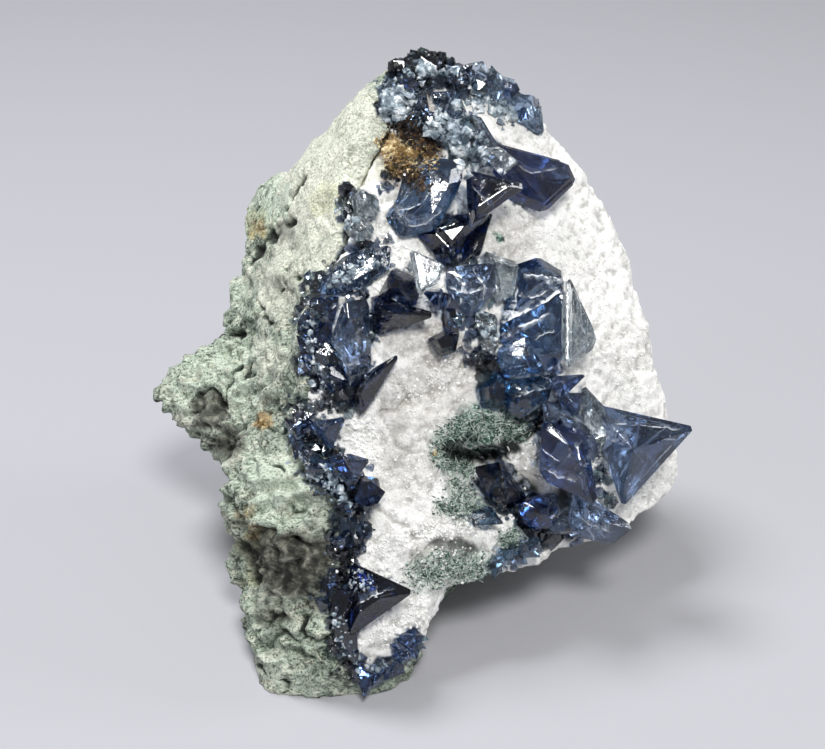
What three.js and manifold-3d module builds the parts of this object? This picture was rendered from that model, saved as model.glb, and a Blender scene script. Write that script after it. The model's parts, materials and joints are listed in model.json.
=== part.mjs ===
// Benitoite on matrix, a hand specimen of rock: a grey-green matrix with a horn and lumps on its left
// flank, a white natrolite crust over its front face, and blue benitoite crystals set along two bands.
// Millimetres, +Z up. The origin is on the flat foot that the matrix rests on, and -Y is the front.
import * as THREE from "three";
import { ConvexGeometry } from "three/addons/geometries/ConvexGeometry.js";
import { mergeVertices } from "three/addons/utils/BufferGeometryUtils.js";
import Module from "manifold-3d";

const wasm = await Module();
wasm.setup();

// The specimen is laid out as it is seen from the front and above: u to the right, v up, w towards the eye.
const LOOK_DOWN = THREE.MathUtils.degToRad(30);
const EYE_DISTANCE = 220;
const LAYOUT_CENTRE = new THREE.Vector3(-2, -2, 37.5);

// Rock
const CORE = new THREE.Vector3(-1, 7, 31); // every part of the rock's surface is in plain sight of this point
const ROCK_DETAIL = 10; // each edge of the icosahedron that becomes the rock is cut into this many and one more
const FLANK_RELIEF = 1.7;
const CRUST_RELIEF = 0.75;
const RELIEF_SIZES = [15, 6.5, 3.2];
const SPREADING_ROUNDS = 14;
const EASING = 0.2; // how far each point of the rock moves towards its neighbours' mean
const SEAM = 0.3; // free space between touching minerals
const CRUST_BACK = { atRidge: 0.5, slope: -0.4, roughness: 2.4 };
const CRUST_REACH = 46; // the crust's outline is taken this far towards the eye, clear of the rock

// Crystals
const BLUNT = 0.1; // share of an edge that a crystal's corner loses to its narrow side face
const CROWN = 0.24; // size of a crystal's flat top against its outline
const CRUMB_VOLUME = 4;

const MINERALS = {
  matrix: { color: 0x8d9a8b, roughness: 0.93 },
  natrolite: { color: 0xeeebe2, roughness: 0.88 },
  benitoite_deep: { color: 0x14204c, roughness: 0.12 },
  benitoite_blue: { color: 0x2c4787, roughness: 0.12 },
  benitoite_teal: { color: 0x244f63, roughness: 0.2 },
  benitoite_pale: { color: 0x9fb4bf, roughness: 0.08 },
};

// Layout to specimen and back

function at(u, v, w) {
  const spread = 1 - w / EYE_DISTANCE;
  const up = v * spread;
  return new THREE.Vector3(
    u * spread,
    up * Math.sin(LOOK_DOWN) - w * Math.cos(LOOK_DOWN),
    up * Math.cos(LOOK_DOWN) + w * Math.sin(LOOK_DOWN),
  ).add(LAYOUT_CENTRE);
}

function layoutOf(point) {
  const p = point.clone().sub(LAYOUT_CENTRE);
  const w = p.z * Math.sin(LOOK_DOWN) - p.y * Math.cos(LOOK_DOWN);
  const spread = 1 - w / EYE_DISTANCE;
  const up = p.z * Math.cos(LOOK_DOWN) + p.y * Math.sin(LOOK_DOWN);
  return { u: p.x / spread, v: up / spread, w };
}

const EYE = at(0, 0, 0).add(
  new THREE.Vector3(0, -Math.cos(LOOK_DOWN), Math.sin(LOOK_DOWN)).multiplyScalar(EYE_DISTANCE),
);

// Chance and noise that come out the same each time

function chance(seed) {
  let state = seed >>> 0;
  return () => {
    state = (state + 0x6d2b79f5) >>> 0;
    let t = state;
    t = Math.imul(t ^ (t >>> 15), t | 1);
    t ^= t + Math.imul(t ^ (t >>> 7), t | 61);
    return ((t ^ (t >>> 14)) >>> 0) / 4294967296;
  };
}

function latticeValue(i, j, k) {
  let h = Math.imul(i, 374761393) ^ Math.imul(j, 668265263) ^ Math.imul(k, 2147483647);
  h = Math.imul(h ^ (h >>> 13), 1274126177);
  return ((h ^ (h >>> 16)) >>> 0) / 2147483648 - 1;
}

// Smooth noise from -1 to 1.
function noise(x, y, z) {
  const [i, j, k] = [Math.floor(x), Math.floor(y), Math.floor(z)];
  const [fx, fy, fz] = [x - i, y - j, z - k].map((t) => t * t * (3 - 2 * t));
  const mix = THREE.MathUtils.lerp;
  const edge = (b, c) => mix(latticeValue(i, j + b, k + c), latticeValue(i + 1, j + b, k + c), fx);
  const side = (c) => mix(edge(0, c), edge(1, c), fy);
  return mix(side(0), side(1), fz);
}

// Sharp-crested noise in octaves, as broken rock has.
function crags(p) {
  return RELIEF_SIZES.reduce((sum, size, octave) => {
    const n = noise(p.x / size + 7 * octave, p.y / size, p.z / size);
    return sum + (1 - 2 * Math.abs(n) - 0.35) / 1.7 ** octave;
  }, 0);
}

// Solids

function bare(geometry) {
  const shape = geometry.clone();
  for (const name of ["normal", "uv"]) shape.deleteAttribute(name);
  return mergeVertices(shape, 1e-4);
}

function solidOf(geometry) {
  const merged = bare(geometry);
  return new wasm.Manifold(
    new wasm.Mesh({
      numProp: 3,
      vertProperties: merged.attributes.position.array,
      triVerts: new Uint32Array(merged.index.array),
    }),
  );
}

function geometryOf(solid) {
  const mesh = solid.getMesh();
  return new THREE.BufferGeometry()
    .setAttribute("position", new THREE.BufferAttribute(mesh.vertProperties, 3))
    .setIndex(new THREE.BufferAttribute(mesh.triVerts, 1));
}

const joined = (solids) => solids.reduce((all, solid) => all.add(solid));

// The separate bodies of a solid from the largest down, without crumbs.
function bodiesOf(solid) {
  const bodies = solid.decompose().filter((body) => body.volume() > CRUMB_VOLUME);
  return bodies.sort((a, b) => b.volume() - a.volume());
}

// A convex block of rock, kept as the planes that bound it.
function block(...points) {
  const p = new ConvexGeometry(points).attributes.position;
  const planes = [];
  for (let i = 0; i < p.count; i += 3) {
    const corners = [0, 1, 2].map((n) => new THREE.Vector3().fromBufferAttribute(p, i + n));
    planes.push(new THREE.Plane().setFromCoplanarPoints(...corners));
  }
  return planes;
}

// How far a ray from the core goes before it leaves a block for good, or 0 where it misses it.
function reachInto(planes, ray) {
  let enter = 0;
  let leave = Infinity;
  for (const plane of planes) {
    const rate = plane.normal.dot(ray);
    const free = -plane.distanceToPoint(CORE);
    if (rate > 1e-9) leave = Math.min(leave, free / rate);
    else if (rate < -1e-9) enter = Math.max(enter, free / rate);
    else if (free < 0) return 0;
  }
  return leave > enter ? leave : 0;
}

// The rock as broken blocks

const upperWedge = block(
  at(-4.6, 43.6, 2), at(1.8, 46.4, -1), at(12.4, 44, -6), at(20.2, 35.4, -8), at(31.9, 18.6, -12),
  at(-9.8, 39.4, -5), at(-18.4, 29.6, -13), at(-23.6, 15, -18), at(-23.8, 4, -18),
  at(-11.5, 23, 6.6), at(-16, 0, 8.6), at(-15, -14, 7.4), at(6, 3, 7), at(35.2, 2.1, -12),
  new THREE.Vector3(0, 29, 68), new THREE.Vector3(-12, 29, 58), new THREE.Vector3(15, 29, 58),
  new THREE.Vector3(28, 28, 38), new THREE.Vector3(-22, 27, 38), new THREE.Vector3(-23, 24, 8),
  new THREE.Vector3(24, 26, 8),
);

const lowerLeft = block(
  at(-15.5, -4, 7.4), at(4.4, -4, 6.6), at(-13, -22, 7.4), at(-12, -38, 7.4), at(-16.4, -51, 2.4),
  at(-9.8, -50.8, 2), at(-5, -49.4, 0), at(1.6, -44, -8), at(1.8, -39.4, 0), at(3.6, -33.2, 4.6),
  at(-24.8, -22, -8), at(-24, -29.4, -7), at(-22.2, -37.9, -3), at(-21, -50.6, 2), at(-24.8, -12, -14),
  new THREE.Vector3(-22, 22, -3), new THREE.Vector3(-6, 24, -3), new THREE.Vector3(-20, 20, 40),
  new THREE.Vector3(0, 10, 30),
);

const rightShoulder = block(
  at(2, 0, 8), at(3, -32, 4), at(8.4, -31.6, 2), at(15.6, -26.4, -2), at(24, -23.8, -7),
  at(37.8, -19, -15), at(38.8, -14.8, -15), at(37.6, -4.4, -13), at(35.2, 2.1, -12), at(14, 10, 2),
  new THREE.Vector3(30, 26, 20), new THREE.Vector3(26, 25, 34), new THREE.Vector3(8, 20, 12),
  new THREE.Vector3(-6, 20, 20),
);

const foot = block(
  new THREE.Vector3(-21, 30, -5), new THREE.Vector3(22, 29, -5), new THREE.Vector3(23, 21, -5),
  new THREE.Vector3(13, 11, -5), new THREE.Vector3(4, 1, -5), new THREE.Vector3(-3, -13, -5),
  new THREE.Vector3(-22, 8, -5), new THREE.Vector3(-22, 29, 22), new THREE.Vector3(24, 29, 20),
  new THREE.Vector3(20, 14, 14), new THREE.Vector3(-4, -10, 10), new THREE.Vector3(-22, 6, 20),
);

const horn = block(
  at(-37.2, -2.6, -24), at(-35.4, -1.2, -25), at(-30.6, 2.6, -21), at(-25, 7.4, -20), at(-30.4, -8.6, -22),
  at(-26.4, -13, -19), at(-20, -10, -10), at(-18, 2, -8), at(-20, 0, -36), at(-22, 8, -30),
);

const shoulderLump = block(
  at(-24.8, 24, -21), at(-22.8, 27.4, -22), at(-17.2, 30, -19), at(-12, 28, -14), at(-24.4, 19, -21),
  at(-20, 12, -17), at(-12, 16, -12), at(-12, 24, -34), at(-18, 16, -34),
);

const sideKnob = block(
  at(-27.2, 10.6, -20), at(-26, 14.2, -20), at(-22, 14, -16), at(-26.2, 7, -19), at(-20, 6, -14),
  at(-16, 10, -18), at(-20, 10, -30),
);

const bulge = block(
  at(-27.6, -15.8, -7), at(-27, -20.2, -7), at(-25, -11, -5), at(-18.5, -9, 3.6), at(-12, -12, 9.4),
  at(-9.5, -18, 10.4), at(-10, -23.6, 9.4), at(-16, -26, 8.4), at(-22.6, -25.2, 3), at(-20, -16, 7.4),
  at(-12, -16, -12), at(-20, -14, -16),
);

const toe = block(
  at(-23.2, -40, -2), at(-22.6, -50, 1), at(-17.8, -50.8, 3), at(-16.6, -41, 5.6), at(-18, -38.6, -6),
);

const BLOCKS = [upperWedge, lowerLeft, rightShoulder, foot, horn, shoulderLump, sideKnob, bulge, toe];

// The white crust's edge as seen from the eye: down the ridge on the left, under the chin, up the right.
const CRUST_OUTLINE = [
  [-0.5, 39], [-4, 33], [-7, 27.5], [-8.4, 22], [-9.4, 18.5], [-11.6, 14.6], [-13.4, 9],
  [-14, 2.5], [-13.4, -1.5], [-15.6, -4.6], [-14, -9], [-12.2, -14], [-9.4, -20], [-10.2, -25],
  [-10.4, -31], [-10, -37], [-8.4, -43], [-5.6, -44.2], [-1, -40.6], [3.2, -37.6], [3.8, -32.8],
  [6.6, -31.6], [11, -32], [15, -29.8], [20, -28.8], [34, -28], [47, -20], [47, 10], [39, 34],
  [21, 47], [9, 45], [4, 43.6],
];

// A hollow in the lower middle of the front face, where green matrix shows through the crust.
const HOLLOW = { at: [11.5, -16, 3], radii: [9.6, 5.4, 6], turn: -0.7 };
// A second, shallow one under the chin.
const UNDERCUT = { at: [9.5, -32.4, 5], radii: [7, 3, 4.5], turn: 0.35 };

function insideCrust(u, v) {
  let inside = false;
  CRUST_OUTLINE.forEach(([u1, v1], i) => {
    const [u2, v2] = CRUST_OUTLINE[(i + 1) % CRUST_OUTLINE.length];
    if (v1 > v !== v2 > v && u < ((u2 - u1) * (v - v1)) / (v2 - v1) + u1) inside = !inside;
  });
  return inside;
}

// The rock's surface: a fine icosahedron whose points are sent out to the blocks, spread evenly over them,
// then roughened.
function rockSurface({ roughened = true } = {}) {
  const shape = bare(new THREE.IcosahedronGeometry(1, ROCK_DETAIL));
  const p = shape.attributes.position;
  let rays = Array.from({ length: p.count }, (_, i) => new THREE.Vector3().fromBufferAttribute(p, i).normalize());
  const neighbours = rays.map(() => new Set());
  const corners = shape.index.array;
  for (let i = 0; i < corners.length; i += 3) {
    for (const [a, b] of [[0, 1], [1, 2], [2, 0]]) {
      neighbours[corners[i + a]].add(corners[i + b]);
      neighbours[corners[i + b]].add(corners[i + a]);
    }
  }
  const sendOut = () => rays.map((ray) => {
    const reach = Math.max(...BLOCKS.map((planes) => reachInto(planes, ray)));
    return CORE.clone().addScaledVector(ray, reach);
  });
  const meansOf = (points) => points.map((_, i) => {
    const mean = new THREE.Vector3();
    for (const n of neighbours[i]) mean.add(points[n]);
    return mean.divideScalar(neighbours[i].size);
  });
  for (let round = 0; round < SPREADING_ROUNDS; round++) {
    rays = meansOf(sendOut()).map((mean) => mean.sub(CORE).normalize());
  }
  const points = sendOut();
  const means = meansOf(points);
  points.forEach((point, i) => {
    point.lerp(means[i], EASING);
    const { u, v, w } = layoutOf(point);
    const white = w > -20 && insideCrust(u, v);
    const relief = roughened ? crags(point) * (white ? CRUST_RELIEF : FLANK_RELIEF) : 0;
    point.addScaledVector(rays[i], relief);
    p.setXYZ(i, point.x, point.y, point.z);
  });
  return shape;
}

// A lump-shaped cutter, laid out by its middle, its radii along u, v and w, and its turn in the picture.
function hollowCutter({ at: [u, v, w], radii, turn }) {
  const ball = bare(new THREE.IcosahedronGeometry(1, 5));
  const p = ball.attributes.position;
  for (let i = 0; i < p.count; i++) {
    const q = new THREE.Vector3().fromBufferAttribute(p, i);
    const size = 1 + 0.3 * noise(q.x * 2 + u, q.y * 2 + v, q.z * 2);
    q.set(...q.toArray().map((x, n) => x * size * radii[n]));
    q.applyAxisAngle(new THREE.Vector3(0, 0, 1), turn);
    const placed = at(u + q.x, v + q.y, w + q.z);
    p.setXYZ(i, placed.x, placed.y, placed.z);
  }
  return solidOf(ball);
}

function groundBox(top) {
  const box = new THREE.BoxGeometry(200, 200, 40);
  box.translate(0, 0, top - 20);
  return solidOf(box);
}

// The part of the rock that is crust. Its back slopes away to the right, and is rough.
function crustCutter(shift = new THREE.Vector3()) {
  const outline = new THREE.Shape(CRUST_OUTLINE.map(([u, v]) => new THREE.Vector2(u, v)));
  const prism = new THREE.ExtrudeGeometry(outline, { depth: 1, bevelEnabled: false });
  const p = prism.attributes.position;
  for (let i = 0; i < p.count; i++) {
    const [u, v, level] = [p.getX(i), p.getY(i), p.getZ(i)];
    const back = CRUST_BACK.atRidge + CRUST_BACK.slope * (u + 15);
    const rough = CRUST_BACK.roughness * noise(u / 5, v / 5, 3);
    const placed = at(u, v, level > 0.5 ? CRUST_REACH : back + rough);
    p.setXYZ(i, placed.x, placed.y, placed.z);
  }
  prism.translate(shift.x, shift.y, shift.z);
  return solidOf(prism);
}

// The crust's room is the cutter moved a seam's width each way.
function crustRoom() {
  const ways = [[0, 0, 0], [1, 0, 0], [-1, 0, 0], [0, 1, 0], [0, -1, 0], [0, 0, 1], [0, 0, -1]];
  return joined(ways.map((way) => crustCutter(new THREE.Vector3(...way).multiplyScalar(SEAM))));
}

const plainRock = new THREE.Mesh(rockSurface({ roughened: false }));
const sightLine = new THREE.Raycaster();

// How near to the eye the plain rock is at a place in the layout.
function rockDepth(u, v, otherwise = -8) {
  const target = at(u, v, 0);
  sightLine.set(EYE, target.sub(EYE).normalize());
  const hit = sightLine.intersectObject(plainRock)[0];
  return hit ? layoutOf(hit.point).w : otherwise;
}

// Crystals

// One flat-faced crystal. Its outline's corners are [u, v, lift above the rock]; it rises to a smaller flat
// top by front, and goes back into the rock by back. Room makes it bigger all round, for the pocket it sits in.
function crystal({ outline, front = 2.4, back = 3, crown = CROWN, blunt = BLUNT }, room) {
  const middleU = outline.reduce((sum, [u]) => sum + u, 0) / outline.length;
  const middleV = outline.reduce((sum, [, v]) => sum + v, 0) / outline.length;
  const seat = rockDepth(middleU, middleV);
  const corners = outline.map(([u, v, lift]) => {
    const own = rockDepth(u, v, seat);
    return at(u, v, THREE.MathUtils.lerp(seat, own, 0.7) + lift);
  });
  const centre = corners.reduce((sum, c) => sum.add(c), new THREE.Vector3()).divideScalar(corners.length);
  const normal = new THREE.Vector3();
  corners.forEach((c, i) => {
    const next = corners[(i + 1) % corners.length];
    normal.add(c.clone().sub(centre).cross(next.clone().sub(centre)));
  });
  normal.normalize();
  if (normal.dot(EYE.clone().sub(centre)) < 0) normal.negate();
  const outward = (p) => p.addScaledVector(p.clone().sub(centre).normalize(), 2 * room);
  const points = [];
  corners.forEach((c, i) => {
    const neighbours = room > 0 ? [c] : [corners.at(i - 1), corners[(i + 1) % corners.length]];
    points.push(...neighbours.map((next) => outward(c.clone().lerp(next, blunt))));
    points.push(outward(centre.clone().lerp(c, crown)).addScaledVector(normal, front + room));
  });
  points.push(centre.clone().addScaledVector(normal, -back - 2 * room));
  return points;
}

// A small three-sided double pyramid that points anyhow.
function splinter(centre, size, random) {
  const axis = new THREE.Vector3(random() - 0.5, random() - 0.5, random() - 0.5).normalize();
  const across = new THREE.Vector3(random() - 0.5, random() - 0.5, random() - 0.5).cross(axis).normalize();
  const points = [1, -1].map((way) => centre.clone().addScaledVector(axis, way * size * 0.75));
  for (let corner = 0; corner < 3; corner++) {
    const arm = across.clone().applyAxisAngle(axis, (corner * 2 * Math.PI) / 3 + 0.3 * random());
    points.push(centre.clone().addScaledVector(arm, size));
  }
  return points;
}

// Splinters grown into each other along a line through the layout.
function druse({ path, count, size, spread, seed, sink = 0.3 }, room) {
  const random = chance(seed);
  const line = new THREE.CatmullRomCurve3(path.map(([u, v]) => new THREE.Vector3(u, v, 0)), false, "centripetal");
  return Array.from({ length: count }, (_, i) => {
    const on = line.getPointAt((i + 0.5) / count);
    const u = on.x + spread * (random() - 0.5);
    const v = on.y + spread * (random() - 0.5);
    const own = size * (0.75 + 0.5 * random());
    return splinter(at(u, v, rockDepth(u, v) + own * (0.5 - sink)), own + 3 * room, random);
  });
}

function grown({ crystals = [], druses = [] }, room = 0) {
  const hulls = [...crystals.map((one) => crystal(one, room)), ...druses.flatMap((one) => druse(one, room))];
  return joined(hulls.map((points) => solidOf(new ConvexGeometry(points))));
}

const TOP = [
  {
    name: "benitoite_rim", mineral: "benitoite_deep",
    crystals: [
      { outline: [[9.1, 39.9, 1], [18.7, 34.2, 2], [17.8, 39.9, -3]], front: 2.2 },
      { outline: [[15.6, 35.5, 0], [18.8, 34.4, 1.6], [18.4, 38.8, -2]], front: 2 },
    ],
    druses: [
      { path: [[9.4, 41.6], [12.4, 40.6], [15, 38.4]], count: 6, size: 2.6, spread: 1.6, seed: 11, sink: -0.1 },
      { path: [[6, 43.4], [10.5, 43], [14.6, 41]], count: 4, size: 2.2, spread: 1, seed: 12 },
    ],
  },
  {
    name: "benitoite_cap", mineral: "benitoite_teal",
    crystals: [
      { outline: [[3.4, 44.2, 0], [7, 44.6, 0], [8.6, 41.8, 0.6], [5.2, 39.8, 1]], front: 1.6, back: 3, crown: 0.4 },
      { outline: [[2.6, 40.4, 1], [6.4, 40.6, 1.4], [8, 37, 1.6], [4.4, 35.6, 1.6]], front: 1.8, back: 3 },
      { outline: [[5.2, 36.4, 1.6], [8.2, 36.8, 1], [8, 31.4, 2], [5.6, 31, 2]], front: 1.7, back: 3, crown: 0.4 },
      { outline: [[0.4, 38.4, 0.6], [3.4, 37.4, 1.4], [4.4, 33.4, 1.6], [1.4, 34.6, 1]], front: 1.6, back: 3 },
      { outline: [[-4.4, 42, 0], [-0.6, 43.8, 0.6], [1.6, 40.4, 1.4], [-2, 38.4, 1]], front: 1.8, back: 3 },
    ],
    druses: [
      { path: [[-4.4, 39.4], [-2.2, 37], [0.6, 36.6], [1.2, 41.8], [2.4, 44.4]],
        count: 6, size: 2.5, spread: 1, seed: 21, sink: 0.1 },
    ],
  },
];

const UPPER = [
  {
    name: "benitoite_top_right", mineral: "benitoite_deep",
    crystals: [
      { outline: [[9.6, 33.6, 0], [22.2, 30.2, 3], [23.4, 27.6, 3.4], [18.7, 23, 3], [13, 25.2, 0]],
        front: 1.6, back: 4, crown: 0.8 },
    ],
  },
  {
    name: "benitoite_upper_grey", mineral: "benitoite_blue",
    crystals: [
      { outline: [[7.6, 29.2, 4], [16.6, 27, 8], [8, 21.2, 4.6]], front: 1.7, back: 5, crown: 0.5 },
      { outline: [[9.2, 37.6, 2], [13.8, 30, 4.6], [8.6, 29.4, 2]], front: 1.4, back: 3, crown: 0.4 },
    ],
  },
  {
    name: "benitoite_clear_chip", mineral: "benitoite_pale",
    crystals: [
      { outline: [[9.2, 32.2, 5.4], [12.4, 32.6, 6], [15.2, 30.4, 7], [12.8, 28.2, 7]], front: 1.3, back: 2.4, crown: 0.5 },
    ],
  },
  {
    name: "benitoite_upper_oval", mineral: "benitoite_blue",
    crystals: [
      { outline: [[2.6, 31, 2], [7.4, 30.6, 3.2], [7, 27.4, 3.6], [3.2, 20.6, 3], [-1.6, 19.6, 1.6], [-4, 22.6, 0.6]],
        front: 1.6, back: 4, crown: 0.62 },
      { outline: [[-2.6, 24, 1.6], [3, 31.2, 2], [-0.5, 29, 0]], front: 1.6, back: 3 },
    ],
  },
  {
    name: "benitoite_under_oval", mineral: "benitoite_deep",
    crystals: [
      { outline: [[0.2, 20.4, 1], [11.8, 23.6, 4], [4.9, 15.3, 1.6]], front: 2.6, back: 4 },
      { outline: [[11.6, 23.4, 2.6], [9.9, 17.2, 1.4], [7, 15.9, 1.2], [7.4, 20, 2.4]], front: 1.8, back: 3, crown: 0.3 },
      { outline: [[5.2, 22.6, 4.6], [9.4, 23.9, 5.4], [8.4, 21, 5.2]], front: 1.4, back: 2 },
    ],
  },
  {
    name: "benitoite_left_beads", mineral: "benitoite_pale",
    crystals: [
      { outline: [[-9.2, 25.4, 0.8], [-7.2, 26.8, 0.6], [-4.8, 25.4, 1.4], [-4.8, 22.8, 2], [-7.6, 21.6, 1.6]],
        front: 2, back: 3.4, crown: 0.5, blunt: 0.2 },
      { outline: [[-9.4, 23, 1.4], [-6.6, 22.6, 1.8], [-5.2, 20.4, 2], [-7.4, 18.8, 1.8], [-9.6, 20, 1.4]],
        front: 2, back: 3.4, crown: 0.5, blunt: 0.2 },
    ],
  },
];

const MIDDLE = [
  {
    name: "benitoite_left_upper", mineral: "benitoite_deep",
    crystals: [
      { outline: [[-3, 18.6, 1], [-3.4, 14.8, 1.4], [-8.6, 11.6, 1.6], [-13.6, 11.2, 0.6], [-13.4, 13.8, 0.6],
        [-9.4, 17.2, 1]], front: 1.7, back: 4, crown: 0.6 },
    ],
    druses: [
      { path: [[-4, 17.4], [-7.4, 15.6], [-11.6, 13]], count: 4, size: 2, spread: 1, seed: 51, sink: -0.4 },
    ],
  },
  {
    name: "benitoite_left_large", mineral: "benitoite_blue",
    crystals: [
      { outline: [[-9.8, 10.6, 1.8], [-6.2, 10.8, 1.4], [-5.9, 0.6, 1.6], [-9.2, -0.4, 2], [-12, 4, 1.6]],
        front: 1.6, back: 4, crown: 0.5 },
    ],
  },
  {
    name: "benitoite_left_druse", mineral: "benitoite_deep",
    crystals: [
      { outline: [[-14.8, 10.8, 0.6], [-10.4, 11.4, 1.4], [-11.2, 7.4, 1.6], [-14.4, 6, 1]], front: 1.8, back: 3 },
      { outline: [[-15.4, 7, 0.6], [-11.4, 8.2, 1.4], [-11.6, 1.6, 1.4], [-14.8, 2, 0.6]], front: 1.7, back: 3 },
      { outline: [[-14.6, 3.2, 0.6], [-10.6, 3, 1.4], [-8.8, -1.6, 1.4], [-12.6, -3, 0.8]], front: 1.8, back: 3 },
    ],
    druses: [
      { path: [[-14.6, 9], [-15.6, 5], [-15, 0.6]], count: 4, size: 1.9, spread: 0.6, seed: 52, sink: 0.1 },
    ],
  },
  {
    name: "benitoite_left_blade", mineral: "benitoite_deep",
    crystals: [
      { outline: [[-1.5, 3.3, 3], [-8.8, -1, 1], [-9.2, -3.8, 0.6], [-7.4, -6.2, 1.6]], front: 2.4, back: 4, crown: 0.16 },
    ],
  },
  {
    name: "benitoite_centre_plate", mineral: "benitoite_pale",
    crystals: [
      { outline: [[-0.6, 18, 4.4], [4.5, 15.8, 4.8], [3.8, 13.2, 4.8], [0.8, 11, 5]], front: 1, back: 2.2, crown: 0.75 },
    ],
  },
  {
    name: "benitoite_centre_dark", mineral: "benitoite_deep",
    crystals: [
      { outline: [[-6, 11.6, 0.6], [3.7, 8.6, 4.4], [-5.6, 5.4, 0.8]], front: 3, back: 3.6, crown: 0.1 },
      { outline: [[-2.8, 15.4, 1], [1.6, 13.4, 2.8], [0.4, 9.6, 3], [-5.4, 10.4, 1]], front: 2.4, back: 3 },
      { outline: [[1.2, 12, 2.6], [4.4, 12.4, 2.4], [4, 8.8, 2.8]], front: 1.7, back: 3 },
    ],
  },
  {
    name: "benitoite_centre_hook", mineral: "benitoite_deep",
    crystals: [
      { outline: [[3.9, 12, 1], [5.7, 11.4, 1], [6.8, 5.4, 2], [5, 4.6, 2]], front: 1.6, back: 3, crown: 0.5 },
      { outline: [[2, 5, 1.4], [4.6, 6.4, 2], [6.7, 5.8, 2], [6.2, 3.2, 2], [3.8, 2.4, 2]],
        front: 1.7, back: 3.4, crown: 0.5 },
    ],
  },
  {
    name: "benitoite_fan", mineral: "benitoite_blue",
    crystals: [
      { outline: [[4.7, 15.2, 2], [11.7, 16, 3.4], [12, 12, 3], [8.4, 8, 2], [4.9, 10.4, 1.4]],
        front: 2, back: 3.6, crown: 0.4 },
      { outline: [[7.2, 14.4, 3.4], [11.2, 13.6, 3.8], [8.6, 8.8, 3]], front: 1.8, back: 2.4 },
    ],
  },
  {
    name: "benitoite_clear_upper", mineral: "benitoite_pale",
    crystals: [
      { outline: [[9.9, 17.8, 1.2], [15.2, 16, 2], [14.6, 11.4, 2.4], [11.8, 10, 2]], front: 1.5, back: 3, crown: 0.5 },
    ],
  },
  {
    name: "benitoite_clear_lower", mineral: "benitoite_pale",
    crystals: [
      { outline: [[8.8, 9.6, 1], [12.2, 8.4, 2], [12, 3, 1.8], [9.4, 2.8, 1]], front: 1.6, back: 3, crown: 0.4 },
    ],
  },
  {
    name: "benitoite_big_plate", mineral: "benitoite_blue",
    crystals: [
      { outline: [[14.4, 15.6, 1.6], [18, 16.8, 1], [21.6, 14.6, 1.6], [21.4, 1, 4], [16, 0.6, 2.6], [12.2, 5.4, 2]],
        front: 1.5, back: 4.6, crown: 0.78 },
      { outline: [[12.4, 7, 2.4], [20.6, 13.8, 3.6], [15, 15, 2.6]], front: 1.7, back: 2.6 },
      { outline: [[12, 3.6, 2], [16.4, 6, 3.2], [19, 0.4, 3.6], [13, -0.6, 2]], front: 1.7, back: 3, crown: 0.5 },
    ],
  },
  {
    name: "benitoite_clear_plate", mineral: "benitoite_pale",
    crystals: [
      { outline: [[22, 14.6, 2.4], [26.3, 5.2, 5], [25.8, 3.6, 5], [21.8, 0.7, 4.6]],
        front: 1.3, back: 4.4, crown: 0.74 },
    ],
  },
];

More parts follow.
